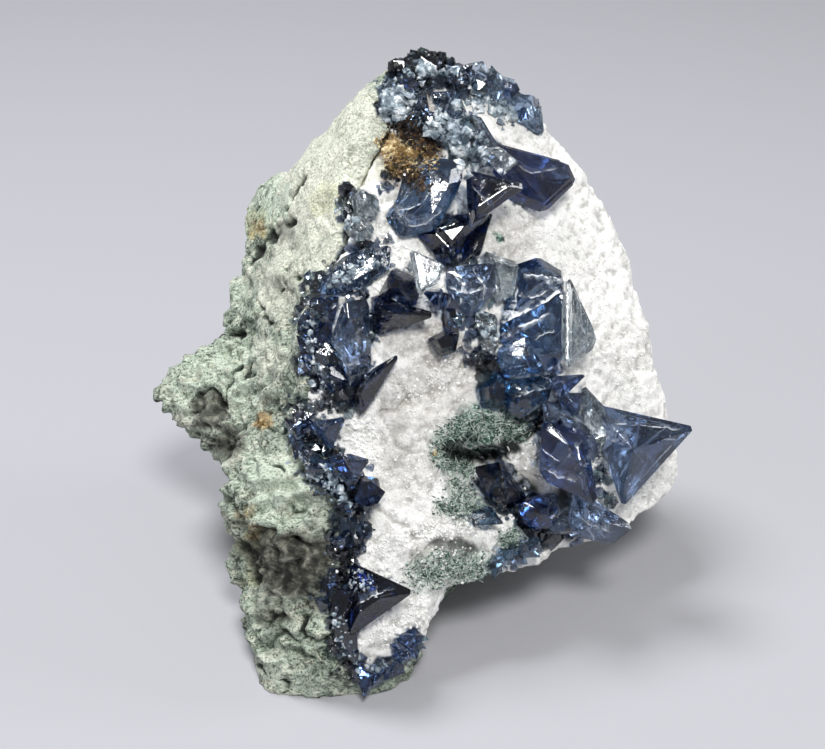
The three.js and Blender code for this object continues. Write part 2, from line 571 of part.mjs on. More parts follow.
const LOWER_RIGHT = [
  {
    name: "benitoite_round_blob", mineral: "benitoite_teal",
    crystals: [
      { outline: [[9.4, -1.6, 0.6], [11.8, 0.6, 1], [14, -1.2, 2], [13.4, -5, 2], [10, -4.8, 1]],
        front: 2.4, back: 3.6, crown: 0.5 },
    ],
  },
  {
    name: "benitoite_facets", mineral: "benitoite_teal",
    crystals: [
      { outline: [[13, -0.8, 2.6], [20.4, 0, 3], [19.4, -3.8, 3.4], [15.4, -6.4, 3], [12.8, -4.6, 2.2]],
        front: 2.6, back: 4, crown: 0.2 },
    ],
  },
  {
    name: "benitoite_wing", mineral: "benitoite_deep",
    crystals: [
      { outline: [[18.3, 0.4, 3], [21.1, 3.5, 4.4], [21.6, 0, 4.2]], front: 1.7, back: 3 },
      { outline: [[18.4, -0.4, 3.4], [25, 0.1, 6.6], [21.4, -3.5, 5.4]], front: 2, back: 4, crown: 0.16 },
      { outline: [[20.4, -2.6, 4], [24.6, -2.6, 4.6], [23.8, -5.9, 4.4], [21.8, -5.6, 4]], front: 1.8, back: 4 },
    ],
  },
  {
    name: "benitoite_wing_back", mineral: "benitoite_blue",
    crystals: [
      { outline: [[18.4, -3.4, 3], [22.6, -4.8, 4], [26, -8.6, 4.6], [22.6, -9, 4.6], [18.8, -7, 4]],
        front: 2, back: 4 },
    ],
  },
  {
    name: "benitoite_grey_blade", mineral: "benitoite_pale",
    crystals: [
      { outline: [[24, -1, 1.2], [30.9, -8.3, 4.4], [25, -11.6, 3]], front: 1.4, back: 4, crown: 0.5 },
    ],
  },
  {
    name: "benitoite_big_pyramid", mineral: "benitoite_blue",
    crystals: [
      { outline: [[25, -4, 3], [40.4, -7.5, 9], [30, -19, 6.6]], front: 5, back: 5, crown: 0.04, blunt: 0.04 },
    ],
  },
  {
    name: "benitoite_spear", mineral: "benitoite_blue",
    crystals: [
      { outline: [[18.4, -6.6, 5], [24.6, -7.4, 6], [26.7, -18.8, 11], [18.2, -14.8, 7.4]],
        front: 3, back: 4.6, crown: 0.2 },
      { outline: [[24.4, -7.6, 4.4], [26.4, -9.4, 4.4], [25.8, -13, 4.6]], front: 1.8, back: 3 },
    ],
  },
  {
    name: "benitoite_low_wedge", mineral: "benitoite_blue",
    crystals: [
      { outline: [[23, -16, 2], [31.7, -21.8, 6], [28.6, -24.2, 6], [22, -23, 3]], front: 2.4, back: 4, crown: 0.3 },
      { outline: [[18.6, -22.8, 2], [21.9, -19, 3], [24.6, -22.8, 3.4]], front: 1.8, back: 3 },
    ],
  },
  {
    name: "benitoite_hollow_dark", mineral: "benitoite_deep",
    crystals: [
      { outline: [[8.6, -13.2, -1], [12.6, -12.4, -1.6], [16.6, -17.8, -1], [12.2, -19.8, -1]],
        front: 2.4, back: 3, crown: 0.2 },
    ],
  },
  {
    name: "benitoite_hollow_right", mineral: "benitoite_deep",
    crystals: [
      { outline: [[14.6, -17.8, 0], [20.8, -16.8, 1], [21, -22.4, 2], [16, -21.6, 1]], front: 2.2, back: 4, crown: 0.2 },
    ],
  },
  {
    name: "benitoite_hollow_left", mineral: "benitoite_teal",
    crystals: [
      { outline: [[8.4, -19.6, 0.6], [11, -18.6, 0.6], [13.2, -21.4, 1.4], [9, -21.6, 1.4]], front: 1.4, back: 3, crown: 0.3 },
    ],
  },
  {
    name: "benitoite_chin", mineral: "benitoite_teal",
    druses: [
      { path: [[11.4, -27.6], [13.4, -26.4], [16, -25], [18.4, -24.2]], count: 5, size: 2.1, spread: 0.8, seed: 63, sink: -0.1 },
    ],
  },
];

const LOWER_LEFT = [
  {
    name: "benitoite_low_left", mineral: "benitoite_deep",
    crystals: [
      { outline: [[-15, -6.8, 1], [-9.4, -6, 2.6], [-11.6, -11, 2]], front: 1.8, back: 3, crown: 0.2 },
      { outline: [[-13.8, -12.4, 1.6], [-9.2, -11.2, 3], [-6, -12.2, 3.4], [-8.6, -15.6, 3]],
        front: 1.8, back: 3.4, crown: 0.2 },
    ],
    druses: [
      { path: [[-16.6, -5], [-16, -9], [-14.4, -12.4], [-12.4, -15.6], [-10, -19.6], [-9.6, -24.4]],
        count: 11, size: 2.3, spread: 1.2, seed: 71, sink: 0 },
    ],
  },
  {
    name: "benitoite_low_left_teal", mineral: "benitoite_teal",
    crystals: [
      { outline: [[-7.4, -14.4, 1], [-4.8, -14.8, 1.6], [-4.4, -17.6, 2], [-6, -20, 2], [-8, -18.4, 2]],
        front: 1.7, back: 3, crown: 0.4 },
    ],
  },
  {
    name: "benitoite_bottom_triangle", mineral: "benitoite_deep",
    crystals: [
      { outline: [[-8.8, -26.8, 1.6], [0.2, -31, 4.6], [-9.2, -37.6, 2.4]], front: 2.6, back: 4, crown: 0.3, blunt: 0.05 },
      { outline: [[-12.4, -30.4, 1], [-8.4, -31, 2.6], [-7.8, -41.8, 2], [-11.4, -38.6, 1]],
        front: 1.8, back: 3.4, crown: 0.3 },
    ],
    druses: [{ path: [[-10, -27.6], [-12, -31], [-11, -35.4]], count: 4, size: 2.1, spread: 1.2, seed: 72, sink: 0 }],
  },
  {
    name: "benitoite_bottom_edge", mineral: "benitoite_blue",
    druses: [
      { path: [[-7.4, -43.6], [-5.2, -42.8], [-2.6, -41.2], [-0.4, -38.8], [0.4, -37.4]],
        count: 7, size: 2.5, spread: 0.8, seed: 73, sink: 0.1 },
    ],
  },
];

const GROUPS = [...TOP, ...UPPER, ...MIDDLE, ...LOWER_RIGHT, ...LOWER_LEFT];

// Assembly

function mineralMesh(name, mineral, solid) {
  const mesh = new THREE.Mesh(geometryOf(solid), new THREE.MeshStandardMaterial(MINERALS[mineral]));
  mesh.name = name;
  return mesh;
}

const specimen = new THREE.Group();
let pockets = null;
for (const group of GROUPS) {
  let solid = grown(group).subtract(groundBox(SEAM));
  if (pockets) solid = solid.subtract(pockets);
  bodiesOf(solid).forEach((body, i) => {
    const name = i ? `${group.name}_${i + 1}` : group.name;
    specimen.add(mineralMesh(name, group.mineral, body));
  });
  const room = grown(group, SEAM);
  pockets = pockets ? pockets.add(room) : room;
}

const rock = solidOf(rockSurface())
  .subtract(hollowCutter(HOLLOW))
  .subtract(hollowCutter(UNDERCUT))
  .subtract(groundBox(0))
  .subtract(pockets);
specimen.add(mineralMesh("matrix", "matrix", bodiesOf(rock.subtract(crustRoom()))[0]));
specimen.add(mineralMesh("natrolite_crust", "natrolite", bodiesOf(rock.intersect(crustCutter()))[0]));

export default specimen;
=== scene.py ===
"""Looks of a benitoite specimen: schist matrix, natrolite crust, blue crystals large and small.

Metres, +Z up, -Y is the front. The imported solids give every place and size.
"""

import json
import math
import random
from typing import NamedTuple

import bmesh
import bpy
from mathutils import Matrix, Vector, noise
from mathutils.bvhtree import BVHTree
from mathutils.kdtree import KDTree


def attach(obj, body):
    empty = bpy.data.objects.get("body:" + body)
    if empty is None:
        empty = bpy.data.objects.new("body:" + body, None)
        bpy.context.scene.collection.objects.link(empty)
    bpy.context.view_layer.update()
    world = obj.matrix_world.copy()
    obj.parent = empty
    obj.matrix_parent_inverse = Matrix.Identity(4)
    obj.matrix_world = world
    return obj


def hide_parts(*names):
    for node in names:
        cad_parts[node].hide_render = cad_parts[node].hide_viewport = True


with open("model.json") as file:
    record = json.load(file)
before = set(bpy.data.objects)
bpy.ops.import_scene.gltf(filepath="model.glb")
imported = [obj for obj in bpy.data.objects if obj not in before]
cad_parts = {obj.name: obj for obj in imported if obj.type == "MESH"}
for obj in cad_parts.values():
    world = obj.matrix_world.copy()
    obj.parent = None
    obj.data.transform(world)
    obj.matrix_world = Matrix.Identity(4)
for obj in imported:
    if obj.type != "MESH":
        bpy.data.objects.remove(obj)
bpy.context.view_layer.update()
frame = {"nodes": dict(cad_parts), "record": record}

# Blender's vector noise starts from the clock unless it has a seed. The rock has to be the same each time.
noise.seed_set(3)

MM = 0.001
BODY = "root"

# The layout is the specimen as the camera sees it: u to the right and v up, in millimetres.
LOOK_DOWN = math.radians(30)
EYE_DISTANCE = 220 * MM
LAYOUT_CENTRE = Vector((-2, -2, 37.5)) * MM
TOWARDS_EYE = Vector((0, -math.cos(LOOK_DOWN), math.sin(LOOK_DOWN)))
LAYOUT_UP = Vector((0, math.sin(LOOK_DOWN), math.cos(LOOK_DOWN)))
EYE = LAYOUT_CENTRE + TOWARDS_EYE * EYE_DISTANCE

ROCK_VOXEL = 0.4 * MM
CRUST_VOXEL = 0.38 * MM
MOST_TRIANGLES = 190_000
FLOOR_HALF = 3
LIT_PLACE = Vector((0, 0, 0.035))

# A crystal's face of this area or more gets a growth step, and its edges are rounded this wide.
LARGE_FACE = 9 * MM * MM
EDGE_WIDTH = 0.05 * MM

# Up to this height over the stone, a crystal gets painted shade under it.
COVER_REACH = 3.5 * MM

# Patches are painted on what turns away from the camera no more than this.
MOST_TURNED = 0.3


def from_layout(u, v):
    """The place of a layout point in the plane through the layout's centre."""
    return LAYOUT_CENTRE + Vector((1, 0, 0)) * u * MM + LAYOUT_UP * v * MM


def to_layout(point):
    """Where the camera sees a point, in the layout's u and v."""
    offset = point - LAYOUT_CENTRE
    spread = 1 - offset.dot(TOWARDS_EYE) / EYE_DISTANCE
    return offset.x / spread / MM, offset.dot(LAYOUT_UP) / spread / MM


def tone(code):
    """A linear colour from the usual six-figure code."""
    channels = [int(code[i : i + 2], 16) / 255 for i in (0, 2, 4)]
    linear = [c / 12.92 if c <= 0.04045 else ((c + 0.055) / 1.055) ** 2.4 for c in channels]
    return (*linear, 1)


def turned_away(point, normal):
    """-1 where a surface faces the camera, 1 where it faces away from it."""
    return (point - EYE).normalized().dot(normal)


def fade(value, low, high):
    """0 below low, 1 above high, smooth between."""
    t = min(max((value - low) / (high - low), 0), 1)
    return t * t * (3 - 2 * t)


def show(item):
    bpy.context.scene.collection.objects.link(item)


# Camera, floor and light


def add_camera():
    data = bpy.data.cameras.new("camera")
    data.lens = 67.2
    data.sensor_width = 36
    data.clip_start = 0.01
    camera = bpy.data.objects.new("camera", data)
    camera.location = EYE
    camera.rotation_euler = (math.pi / 2 - LOOK_DOWN, 0, 0)
    show(camera)
    bpy.context.scene.camera = camera


def floor_material():
    material, tree, shader, _ = new_material("paper")
    feed(tree, shader, {"Base Color": "a2a2a7", "Roughness": 0.8})
    return material


def add_floor():
    shape = bmesh.new()
    bmesh.ops.create_grid(shape, x_segments=1, y_segments=1, size=FLOOR_HALF)
    mesh = bpy.data.meshes.new("floor")
    shape.to_mesh(mesh)
    shape.free()
    mesh.materials.append(floor_material())
    floor = bpy.data.objects.new("floor", mesh)
    show(floor)


def add_light(name, place, size, power, colour=(1, 1, 1)):
    data = bpy.data.lights.new(name, "AREA")
    data.shape = "DISK"
    data.size = size
    data.energy = power
    data.color = colour
    light = bpy.data.objects.new(name, data)
    light.location = place
    aim = LIT_PLACE - light.location
    light.rotation_euler = aim.to_track_quat("-Z", "Y").to_euler()
    show(light)


def add_world(strength):
    world = bpy.data.worlds.new("studio")
    world.use_nodes = True
    tree = world.node_tree
    feed(tree, tree.nodes["Background"], {"Color": "e8ecf2", "Strength": strength})
    bpy.context.scene.world = world


# Materials


def feed(tree, node, inputs):
    """Sets a node's inputs, each to a value, a colour code or what another node's socket gives."""
    for name, value in inputs.items():
        if isinstance(value, bpy.types.NodeSocket):
            tree.links.new(value, node.inputs[name])
        else:
            node.inputs[name].default_value = tone(value) if isinstance(value, str) else value


def add(tree, kind, inputs, **settings):
    """A new node with its inputs and settings."""
    made = tree.nodes.new("ShaderNode" + kind)
    for name, value in settings.items():
        setattr(made, name, value)
    feed(tree, made, inputs)
    return made


def blend(tree, factor, first, second, way="MIX"):
    """The first colour towards the second by a factor. Inputs 6 and 7 and output 2 are those for colours."""
    inputs = {"Factor": factor, 6: first, 7: second}
    return add(tree, "Mix", inputs, data_type="RGBA", blend_type=way).outputs[2]


def ramp(tree, value, stops):
    """A colour or grey that follows a value through the stops, each a place and a colour code or a number."""
    made = add(tree, "ValToRGB", {"Fac": value})
    elements = made.color_ramp.elements
    while len(elements) < len(stops):
        elements.new(0.5)
    for element, (place, colour) in zip(elements, stops):
        element.position = place
        element.color = tone(colour) if isinstance(colour, str) else (colour, colour, colour, 1)
    return made.outputs["Color"]


def sums(tree, way, first, second):
    """Two values or sockets added, subtracted, multiplied or divided. An addition stops at 1."""
    made = add(tree, "Math", {0: first, 1: second}, operation=way, use_clamp=way == "ADD")
    return made.outputs[0]


def times(tree, first, second):
    return sums(tree, "MULTIPLY", first, second)


def new_group(name, numbers, outputs, kind):
    """An empty shader group that takes a vector and numbers, and the sockets at its two ends."""
    tree = bpy.data.node_groups.new(name, "ShaderNodeTree")
    tree.interface.new_socket("Vector", in_out="INPUT", socket_type="NodeSocketVector")
    for socket, value in numbers.items():
        made = tree.interface.new_socket(socket, in_out="INPUT", socket_type="NodeSocketFloat")
        made.default_value = value
    for socket in outputs:
        tree.interface.new_socket(socket, in_out="OUTPUT", socket_type="NodeSocket" + kind)
    start = tree.nodes.new("NodeGroupInput")
    end = tree.nodes.new("NodeGroupOutput")
    return tree, start.outputs, end.inputs


def use(tree, group, **inputs):
    """The outputs of a group that's added with these inputs."""
    made = tree.nodes.new("ShaderNodeGroup")
    made.node_tree = group
    feed(tree, made, {name.capitalize(): value for name, value in inputs.items()})
    return made.outputs


def grain_group():
    """Cloudy mottling, gritty grain and scattered specks, for any mineral. Sizes are in millimetres."""
    numbers = {"Size": 1.0, "Grit": 0.4, "Speck": 0.6}
    tree, given, out = new_group("grain", numbers, ["Mottle", "Grit", "Specks"], "Float")
    place = given["Vector"]
    scale = sums(tree, "DIVIDE", 1 / MM, given["Size"])
    mottle = add(tree, "TexNoise", {"Vector": place, "Scale": scale, "Detail": 5.0, "Roughness": 0.6})
    finer = sums(tree, "DIVIDE", 1 / MM, given["Grit"])
    grit = add(tree, "TexNoise", {"Vector": place, "Scale": finer, "Detail": 3.0, "Roughness": 0.75})
    speck_scale = sums(tree, "DIVIDE", 1 / MM, given["Speck"])
    cells = add(tree, "TexVoronoi", {"Vector": place, "Scale": speck_scale})
    chosen = add(tree, "SeparateColor", {"Color": cells.outputs["Color"]}).outputs["Red"]
    few = ramp(tree, chosen, [(0.8, 0.0), (0.86, 1.0)])
    near = ramp(tree, cells.outputs["Distance"], [(0.2, 1.0), (0.42, 0.0)])
    specks = times(tree, few, near)
    tree.links.new(mottle.outputs["Fac"], out["Mottle"])
    tree.links.new(grit.outputs["Fac"], out["Grit"])
    tree.links.new(specks, out["Specks"])
    return tree


def facet_group():
    """Normals of a broken crystal surface: each small cell of it is tipped its own way."""
    tree, given, out = new_group("facets", {"Size": 0.6, "Tip": 0.3}, ["Normal"], "Vector")
    scale = sums(tree, "DIVIDE", 1 / MM, given["Size"])
    cells = add(tree, "TexVoronoi", {"Vector": given["Vector"], "Scale": scale})
    centred = add(tree, "VectorMath", {0: cells.outputs["Color"], 1: (0.5, 0.5, 0.5)}, operation="SUBTRACT")
    tipped = add(tree, "VectorMath", {0: centred.outputs[0], "Scale": given["Tip"]}, operation="SCALE")
    flat = add(tree, "NewGeometry", {}).outputs["Normal"]
    leaning = add(tree, "VectorMath", {0: flat, 1: tipped.outputs[0]}, operation="ADD")
    whole = add(tree, "VectorMath", {0: leaning.outputs[0]}, operation="NORMALIZE")
    tree.links.new(whole.outputs[0], out["Normal"])
    return tree


def new_material(name):
    """A material, its node tree and shader, and the place on the piece."""
    material = bpy.data.materials.new(name)
    material.use_nodes = True
    tree = material.node_tree
    shader = tree.nodes["Principled BSDF"]
    place = add(tree, "TexCoord", {}).outputs["Object"]
    return material, tree, shader, place


def mark(tree, name):
    """A mask that was painted on the piece."""
    return add(tree, "Attribute", {}, attribute_name=name).outputs["Fac"]


def stain(tree, colour, name, texture, stops, second):
    """The colour under a painted patch of a second one, whose strength follows a texture."""
    strength = times(tree, mark(tree, name), ramp(tree, texture, stops))
    return blend(tree, strength, colour, second)


def dress(tree, shader, colour, rough, height, strength, depth):
    """Sets a mineral's colour, roughness and bump, whose depth is in millimetres."""
    bump = add(tree, "Bump", {"Height": height, "Strength": strength, "Distance": depth * MM})
    feed(tree, shader, {"Base Color": colour, "Roughness": rough, "Normal": bump.outputs["Normal"]})


def matrix_material(grain):
    """Grey-green schist: cloudy tone, drawn-out fibres and grit, painted shade in pits, crevices, hollows and
    under crystals, and the painted patches over them.
    """
    material, tree, shader, place = new_material("schist")
    broad = use(tree, grain, vector=place, size=9.0, grit=0.5)
    close = use(tree, grain, vector=place, size=1.7, grit=0.3, speck=0.5)
    drawn = add(tree, "Mapping", {"Vector": place, "Rotation": (0.5, 0.7, 0.3), "Scale": (1.0, 2.4, 1.4)})
    streaks = use(tree, grain, vector=drawn.outputs["Vector"], size=3.2, grit=0.75, speck=1.0)
    cloudy = [(0.3, "7b897e"), (0.44, "a8b4a6"), (0.56, "ced6c8"), (0.7, "f0f1e5")]
    colour = ramp(tree, broad["Mottle"], cloudy)
    streaked = ramp(tree, streaks["Mottle"], [(0.34, "647067"), (0.5, "bdc7b9"), (0.66, "f5f6ec")])
    colour = blend(tree, 0.5, colour, streaked)
    # The "pale" patches: a paler, smoother zone of the rock, which also paints the light that falls from
    # above on the upper flank and the bulge.
    colour = stain(tree, colour, "pale", close["Mottle"], [(0.3, 0.6), (0.6, 1.0)], "f0f0e2")
    colour = blend(tree, mark(tree, "mint"), colour, "d3e0d0")
    warm = ramp(tree, streaks["Mottle"], [(0.5, 0.0), (0.66, 0.6)])
    colour = blend(tree, warm, colour, "dcd8c8")
    colour = stain(tree, colour, "yellow", close["Grit"], [(0.4, 1.0), (0.6, 0.3)], "b9b878")
    smooth = sums(tree, "SUBTRACT", 1.0, times(tree, mark(tree, "pale"), 0.7))
    rough_ground = times(tree, ramp(tree, broad["Mottle"], [(0.42, 0.95), (0.64, 0.45)]), smooth)
    fibres = ramp(tree, streaks["Grit"], [(0.36, "262d27"), (0.45, "b9c0b5"), (0.53, "ffffff")])
    colour = blend(tree, rough_ground, colour, fibres, "MULTIPLY")
    # Painted shade in small pits, darker where the bump is low.
    pit_shade = ramp(tree, close["Mottle"], [(0.35, "1c211c"), (0.43, "ffffff")])
    colour = blend(tree, rough_ground, colour, pit_shade, "MULTIPLY")
    gritty = ramp(tree, close["Grit"], [(0.36, "6a726a"), (0.46, "e2e5dd"), (0.56, "ffffff")])
    colour = blend(tree, 0.7, colour, gritty, "MULTIPLY")
    pepper = times(tree, close["Specks"], smooth)
    colour = blend(tree, pepper, colour, "3f463b")
    flakes = times(tree, streaks["Specks"], smooth)
    colour = blend(tree, times(tree, flakes, 0.7), colour, "4d564a")
    # Painted shade in fissures, seams and low places, from the relief level.
    crevice_shade = ramp(tree, mark(tree, "relief"), [(0.08, "1e2420"), (0.3, "7f8880"), (0.5, "ffffff")])
    colour = blend(tree, 0.95, colour, crevice_shade, "MULTIPLY")
    # Painted shade: a dark stone colour under the bulge, in the horn's hollow and in other recesses.
    painted_shade_colour = ramp(tree, close["Mottle"], [(0.36, "171712"), (0.5, "45453d"), (0.64, "8b8b7f")])
    colour = blend(tree, mark(tree, "shade"), colour, painted_shade_colour)
    iron = ramp(tree, close["Mottle"], [(0.4, "8f6d3c"), (0.56, "cdb076")])
    colour = stain(tree, colour, "rust", close["Grit"], [(0.4, 0.24), (0.52, 0.8)], iron)
    leaf = ramp(tree, close["Grit"], [(0.38, "17332c"), (0.48, "567869"), (0.6, "cfdcd2")])
    colour = blend(tree, mark(tree, "green"), colour, leaf)
    # Painted dark blue-grey shade on the rock under the crystals.
    under_crystal_shade = ramp(tree, close["Mottle"], [(0.4, "1a232e"), (0.6, "8797a6")])
    colour = blend(tree, mark(tree, "crystal_shade"), colour, under_crystal_shade)
    rough = ramp(tree, close["Grit"], [(0.3, 0.98), (0.7, 0.75)])
    lumps = times(tree, close["Mottle"], 0.45)
    drawn_out = times(tree, streaks["Grit"], 0.35)
    grains = times(tree, close["Grit"], 0.2)
    height = sums(tree, "ADD", sums(tree, "ADD", lumps, drawn_out), grains)
    dress(tree, shader, colour, rough, height, 1.0, 1.1)
    return material


def natrolite_material(grain):
    """Snow-white sugary crust with hairlines, grey patches, and brown and green stains, and painted shade in
    its low places, gaps and under crystals.
    """
    material, tree, shader, place = new_material("sugary_natrolite")
    broad = use(tree, grain, vector=place, size=6.0, grit=0.55)
    close = use(tree, grain, vector=place, size=1.2, grit=0.26)
    colour = ramp(tree, broad["Mottle"], [(0.3, "e9e9e6"), (0.48, "f6f5f2"), (0.62, "fefdfb")])
    crumbs = ramp(tree, close["Grit"], [(0.34, "b4b6b4"), (0.46, "f1f1ee"), (0.58, "ffffff")])
    colour = blend(tree, 0.45, colour, crumbs, "MULTIPLY")
    # Painted shade in the crust's low places and seams, from the relief level.
    hollow_shade = ramp(tree, mark(tree, "relief"), [(0.05, "85857f"), (0.35, "ffffff")])
    colour = blend(tree, 0.5, colour, hollow_shade, "MULTIPLY")
    hairline = ramp(tree, broad["Mottle"], [(0.485, 0.0), (0.5, 0.4), (0.515, 0.0)])
    colour = blend(tree, hairline, colour, "8d8a83")
    colour = stain(tree, colour, "grey", broad["Grit"], [(0.42, 1.0), (0.58, 0.4)], "9b958d")
    colour = stain(tree, colour, "pale", close["Mottle"], [(0.3, 0.5), (0.6, 1.0)], "e9ead9")
    umber = ramp(tree, close["Grit"], [(0.4, "120b06"), (0.6, "6b4a20")])
    colour = stain(tree, colour, "rust", broad["Grit"], [(0.4, 1.0), (0.58, 0.6)], umber)
    leafy = [(0.38, "0c1f1a"), (0.48, "36594d"), (0.56, "8fae9f"), (0.64, "e2ebe4")]
    flecks = ramp(tree, broad["Grit"], leafy)
    colour = stain(tree, colour, "green", close["Mottle"], [(0.45, 1.0), (0.62, 0.4)], flecks)
    # Painted shade: near-black in the gaps of the green hollow and under the arch above the chin.
    gap_shade = ramp(tree, close["Grit"], [(0.4, "020405"), (0.62, "1a2824")])
    colour = blend(tree, mark(tree, "shade"), colour, gap_shade)
    # Painted dark blue-grey shade on the crust under the crystals.
    under_crystal_shade = ramp(tree, close["Mottle"], [(0.4, "2a3646"), (0.6, "b4c0cc")])
    colour = blend(tree, mark(tree, "crystal_shade"), colour, under_crystal_shade)
    rough = ramp(tree, close["Grit"], [(0.3, 0.92), (0.7, 0.6)])
    lumps = times(tree, close["Mottle"], 0.6)
    height = sums(tree, "ADD", lumps, times(tree, close["Grit"], 0.4))
    dress(tree, shader, colour, rough, height, 0.9, 0.5)
    return material


def benitoite_material(name, grain, facets, absorbs, density, tint, rough, frost, broken):
    """Clear blue crystal, coloured by how far light goes through it. Parts are frosted, parts broken."""
    material, tree, shader, place = new_material(name)
    broad = use(tree, grain, vector=place, size=5.0, grit=0.9)
    colour = ramp(tree, broad["Mottle"], [(0.44, tint), (0.62, "f4f7fb")])
    frosted = ramp(tree, broad["Grit"], [(0.5, rough), (0.68, frost)])
    ripple = add(tree, "Bump", {"Height": broad["Mottle"], "Strength": 0.3, "Distance": 0.6 * MM})
    cell = use(tree, facets, vector=place, size=0.55, tip=0.9)
    where = ramp(tree, broad["Mottle"], [(broken, 0.0), (broken + 0.03, 1.0)])
    normal = blend(tree, where, ripple.outputs["Normal"], cell["Normal"])
    feed(tree, shader, {"Base Color": colour, "Roughness": frosted, "Normal": normal})
    feed(tree, shader, {"Transmission Weight": 1.0, "IOR": 1.76})
    absorption = add(tree, "VolumeAbsorption", {"Color": (*absorbs, 1), "Density": density})
    feed(tree, tree.nodes["Material Output"], {"Volume": absorption.outputs["Volume"]})
    return material


def fracture_material(grain):
    """The white veil of a healed crack: patchy, and see-through between its patches."""
    material, tree, shader, place = new_material("fracture_veil")
    close = use(tree, grain, vector=place, size=1.2, grit=0.3)
    patches = ramp(tree, close["Mottle"], [(0.42, 0.05), (0.52, 1.0)])
    feed(tree, shader, {"Alpha": times(tree, mark(tree, "strong"), patches)})
    dress(tree, shader, "f2f6fa", 0.4, close["Grit"], 0.6, 0.2)
    return material


def granule_material(name, dark, middle, light, rough, grain, size=0.8):
    """Grains or fibres in three cloudy tones. The size is that of the clouds, in millimetres."""
    material, tree, shader, place = new_material(name)
    close = use(tree, grain, vector=place, size=size, grit=0.2)
    colour = ramp(tree, close["Mottle"], [(0.32, dark), (0.5, middle), (0.66, light)])
    uneven = ramp(tree, close["Grit"], [(0.3, rough + 0.2), (0.7, rough)])
    dress(tree, shader, colour, uneven, close["Grit"], 0.5, 0.2)
    return material


# Pieces


def new_piece(name, shape, material):
    """A finished piece from a bmesh. It rides on the specimen."""
    mesh = bpy.data.meshes.new(name)
    shape.to_mesh(mesh)
    shape.free()
    mesh.materials.clear()
    mesh.materials.append(material)
    piece = bpy.data.objects.new(name, mesh)
    show(piece)
    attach(piece, BODY)
    return piece


def merged_copy(node):
    """A node's shape with its corners joined."""
    shape = bmesh.new()
    shape.from_mesh(frame["nodes"][node].data)
    bmesh.ops.remove_doubles(shape, verts=shape.verts, dist=0.005 * MM)
    return shape


def fine_copy(node, name, voxel, rounds, material):
    """A node's shape in small even faces, larger at the back, with the sharp triangle edges eased."""
    piece = new_piece(name, merged_copy(node), material)
    remesh = piece.modifiers.new("remesh", "REMESH")
    remesh.mode = "VOXEL"
    remesh.voxel_size = voxel
    ease = piece.modifiers.new("ease", "SMOOTH")
    ease.factor = 0.5
    ease.iterations = rounds
    piece.modifiers.new("triangles", "TRIANGULATE")
    apply_modifiers(piece)
    away = piece.vertex_groups.new(name="away")
    for vertex in piece.data.vertices:
        away.add([vertex.index], fade(turned_away(vertex.co, vertex.normal), -0.15, 0.15), "REPLACE")
    thin = piece.modifiers.new("thin", "DECIMATE")
    thin.ratio = min(1, MOST_TRIANGLES / len(piece.data.polygons))
    thin.vertex_group = "away"
    apply_modifiers(piece)
    piece.vertex_groups.clear()
    mesh = piece.data
    mesh.materials.clear()
    mesh.materials.append(material)
    mesh.polygons.foreach_set("use_smooth", [True] * len(mesh.polygons))
    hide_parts(node)
    return piece


def apply_modifiers(piece):
    """Gives a piece the mesh that its modifiers make of it."""
    evaluated = piece.evaluated_get(bpy.context.evaluated_depsgraph_get())
    mesh = bpy.data.meshes.new_from_object(evaluated)
    piece.modifiers.clear()
    piece.data = mesh


def raise_surface(piece, relief):
    """Moves each point along its normal, and keeps its relief level, from which the materials paint shade
    where it is low.
    """
    mesh = piece.data
    heights = [relief(vertex.co, vertex.normal) for vertex in mesh.vertices]
    normals = [vertex.normal.copy() for vertex in mesh.vertices]
    for vertex, normal, (height, _) in zip(mesh.vertices, normals, heights):
        vertex.co += normal * height
        if vertex.co.z < 0:
            vertex.co.z = 0
    store(mesh, "relief", [level for _, level in heights])
    mesh.update()


def store(mesh, name, values):
    """Keeps a value for each point, which a material reads by its name."""
    attribute = mesh.attributes.new(name, "FLOAT", "POINT")
    attribute.data.foreach_set("value", values)


def paint(piece, name, patches):
    """Marks a material's patches, each (u, v, radius, strength) in the layout, but not on the far side."""
    values = []
    for vertex in piece.data.vertices:
        value = 0
        if turned_away(vertex.co, vertex.normal) < MOST_TURNED:
            u, v = to_layout(vertex.co)
            u += 1.2 * noise.noise(vertex.co / (2.5 * MM))
            v += 1.2 * noise.noise(vertex.co / (2.5 * MM) + Vector((9, 0, 0)))
            for x, y, radius, strength in patches:
                away = math.hypot(u - x, v - y)
                value = max(value, strength * (1 - fade(away, 0.55 * radius, radius)))
        values.append(value)
    store(piece.data, name, values)


def off_line(u, v, line):
    """How far a layout place is from a line through layout places."""
    nearest = 1e9
    for (au, av), (bu, bv) in zip(line, line[1:]):
        du, dv = bu - au, bv - av
        t = min(max(((u - au) * du + (v - av) * dv) / (du * du + dv * dv), 0), 1)
        nearest = min(nearest, math.hypot(u - au - t * du, v - av - t * dv))
    return nearest


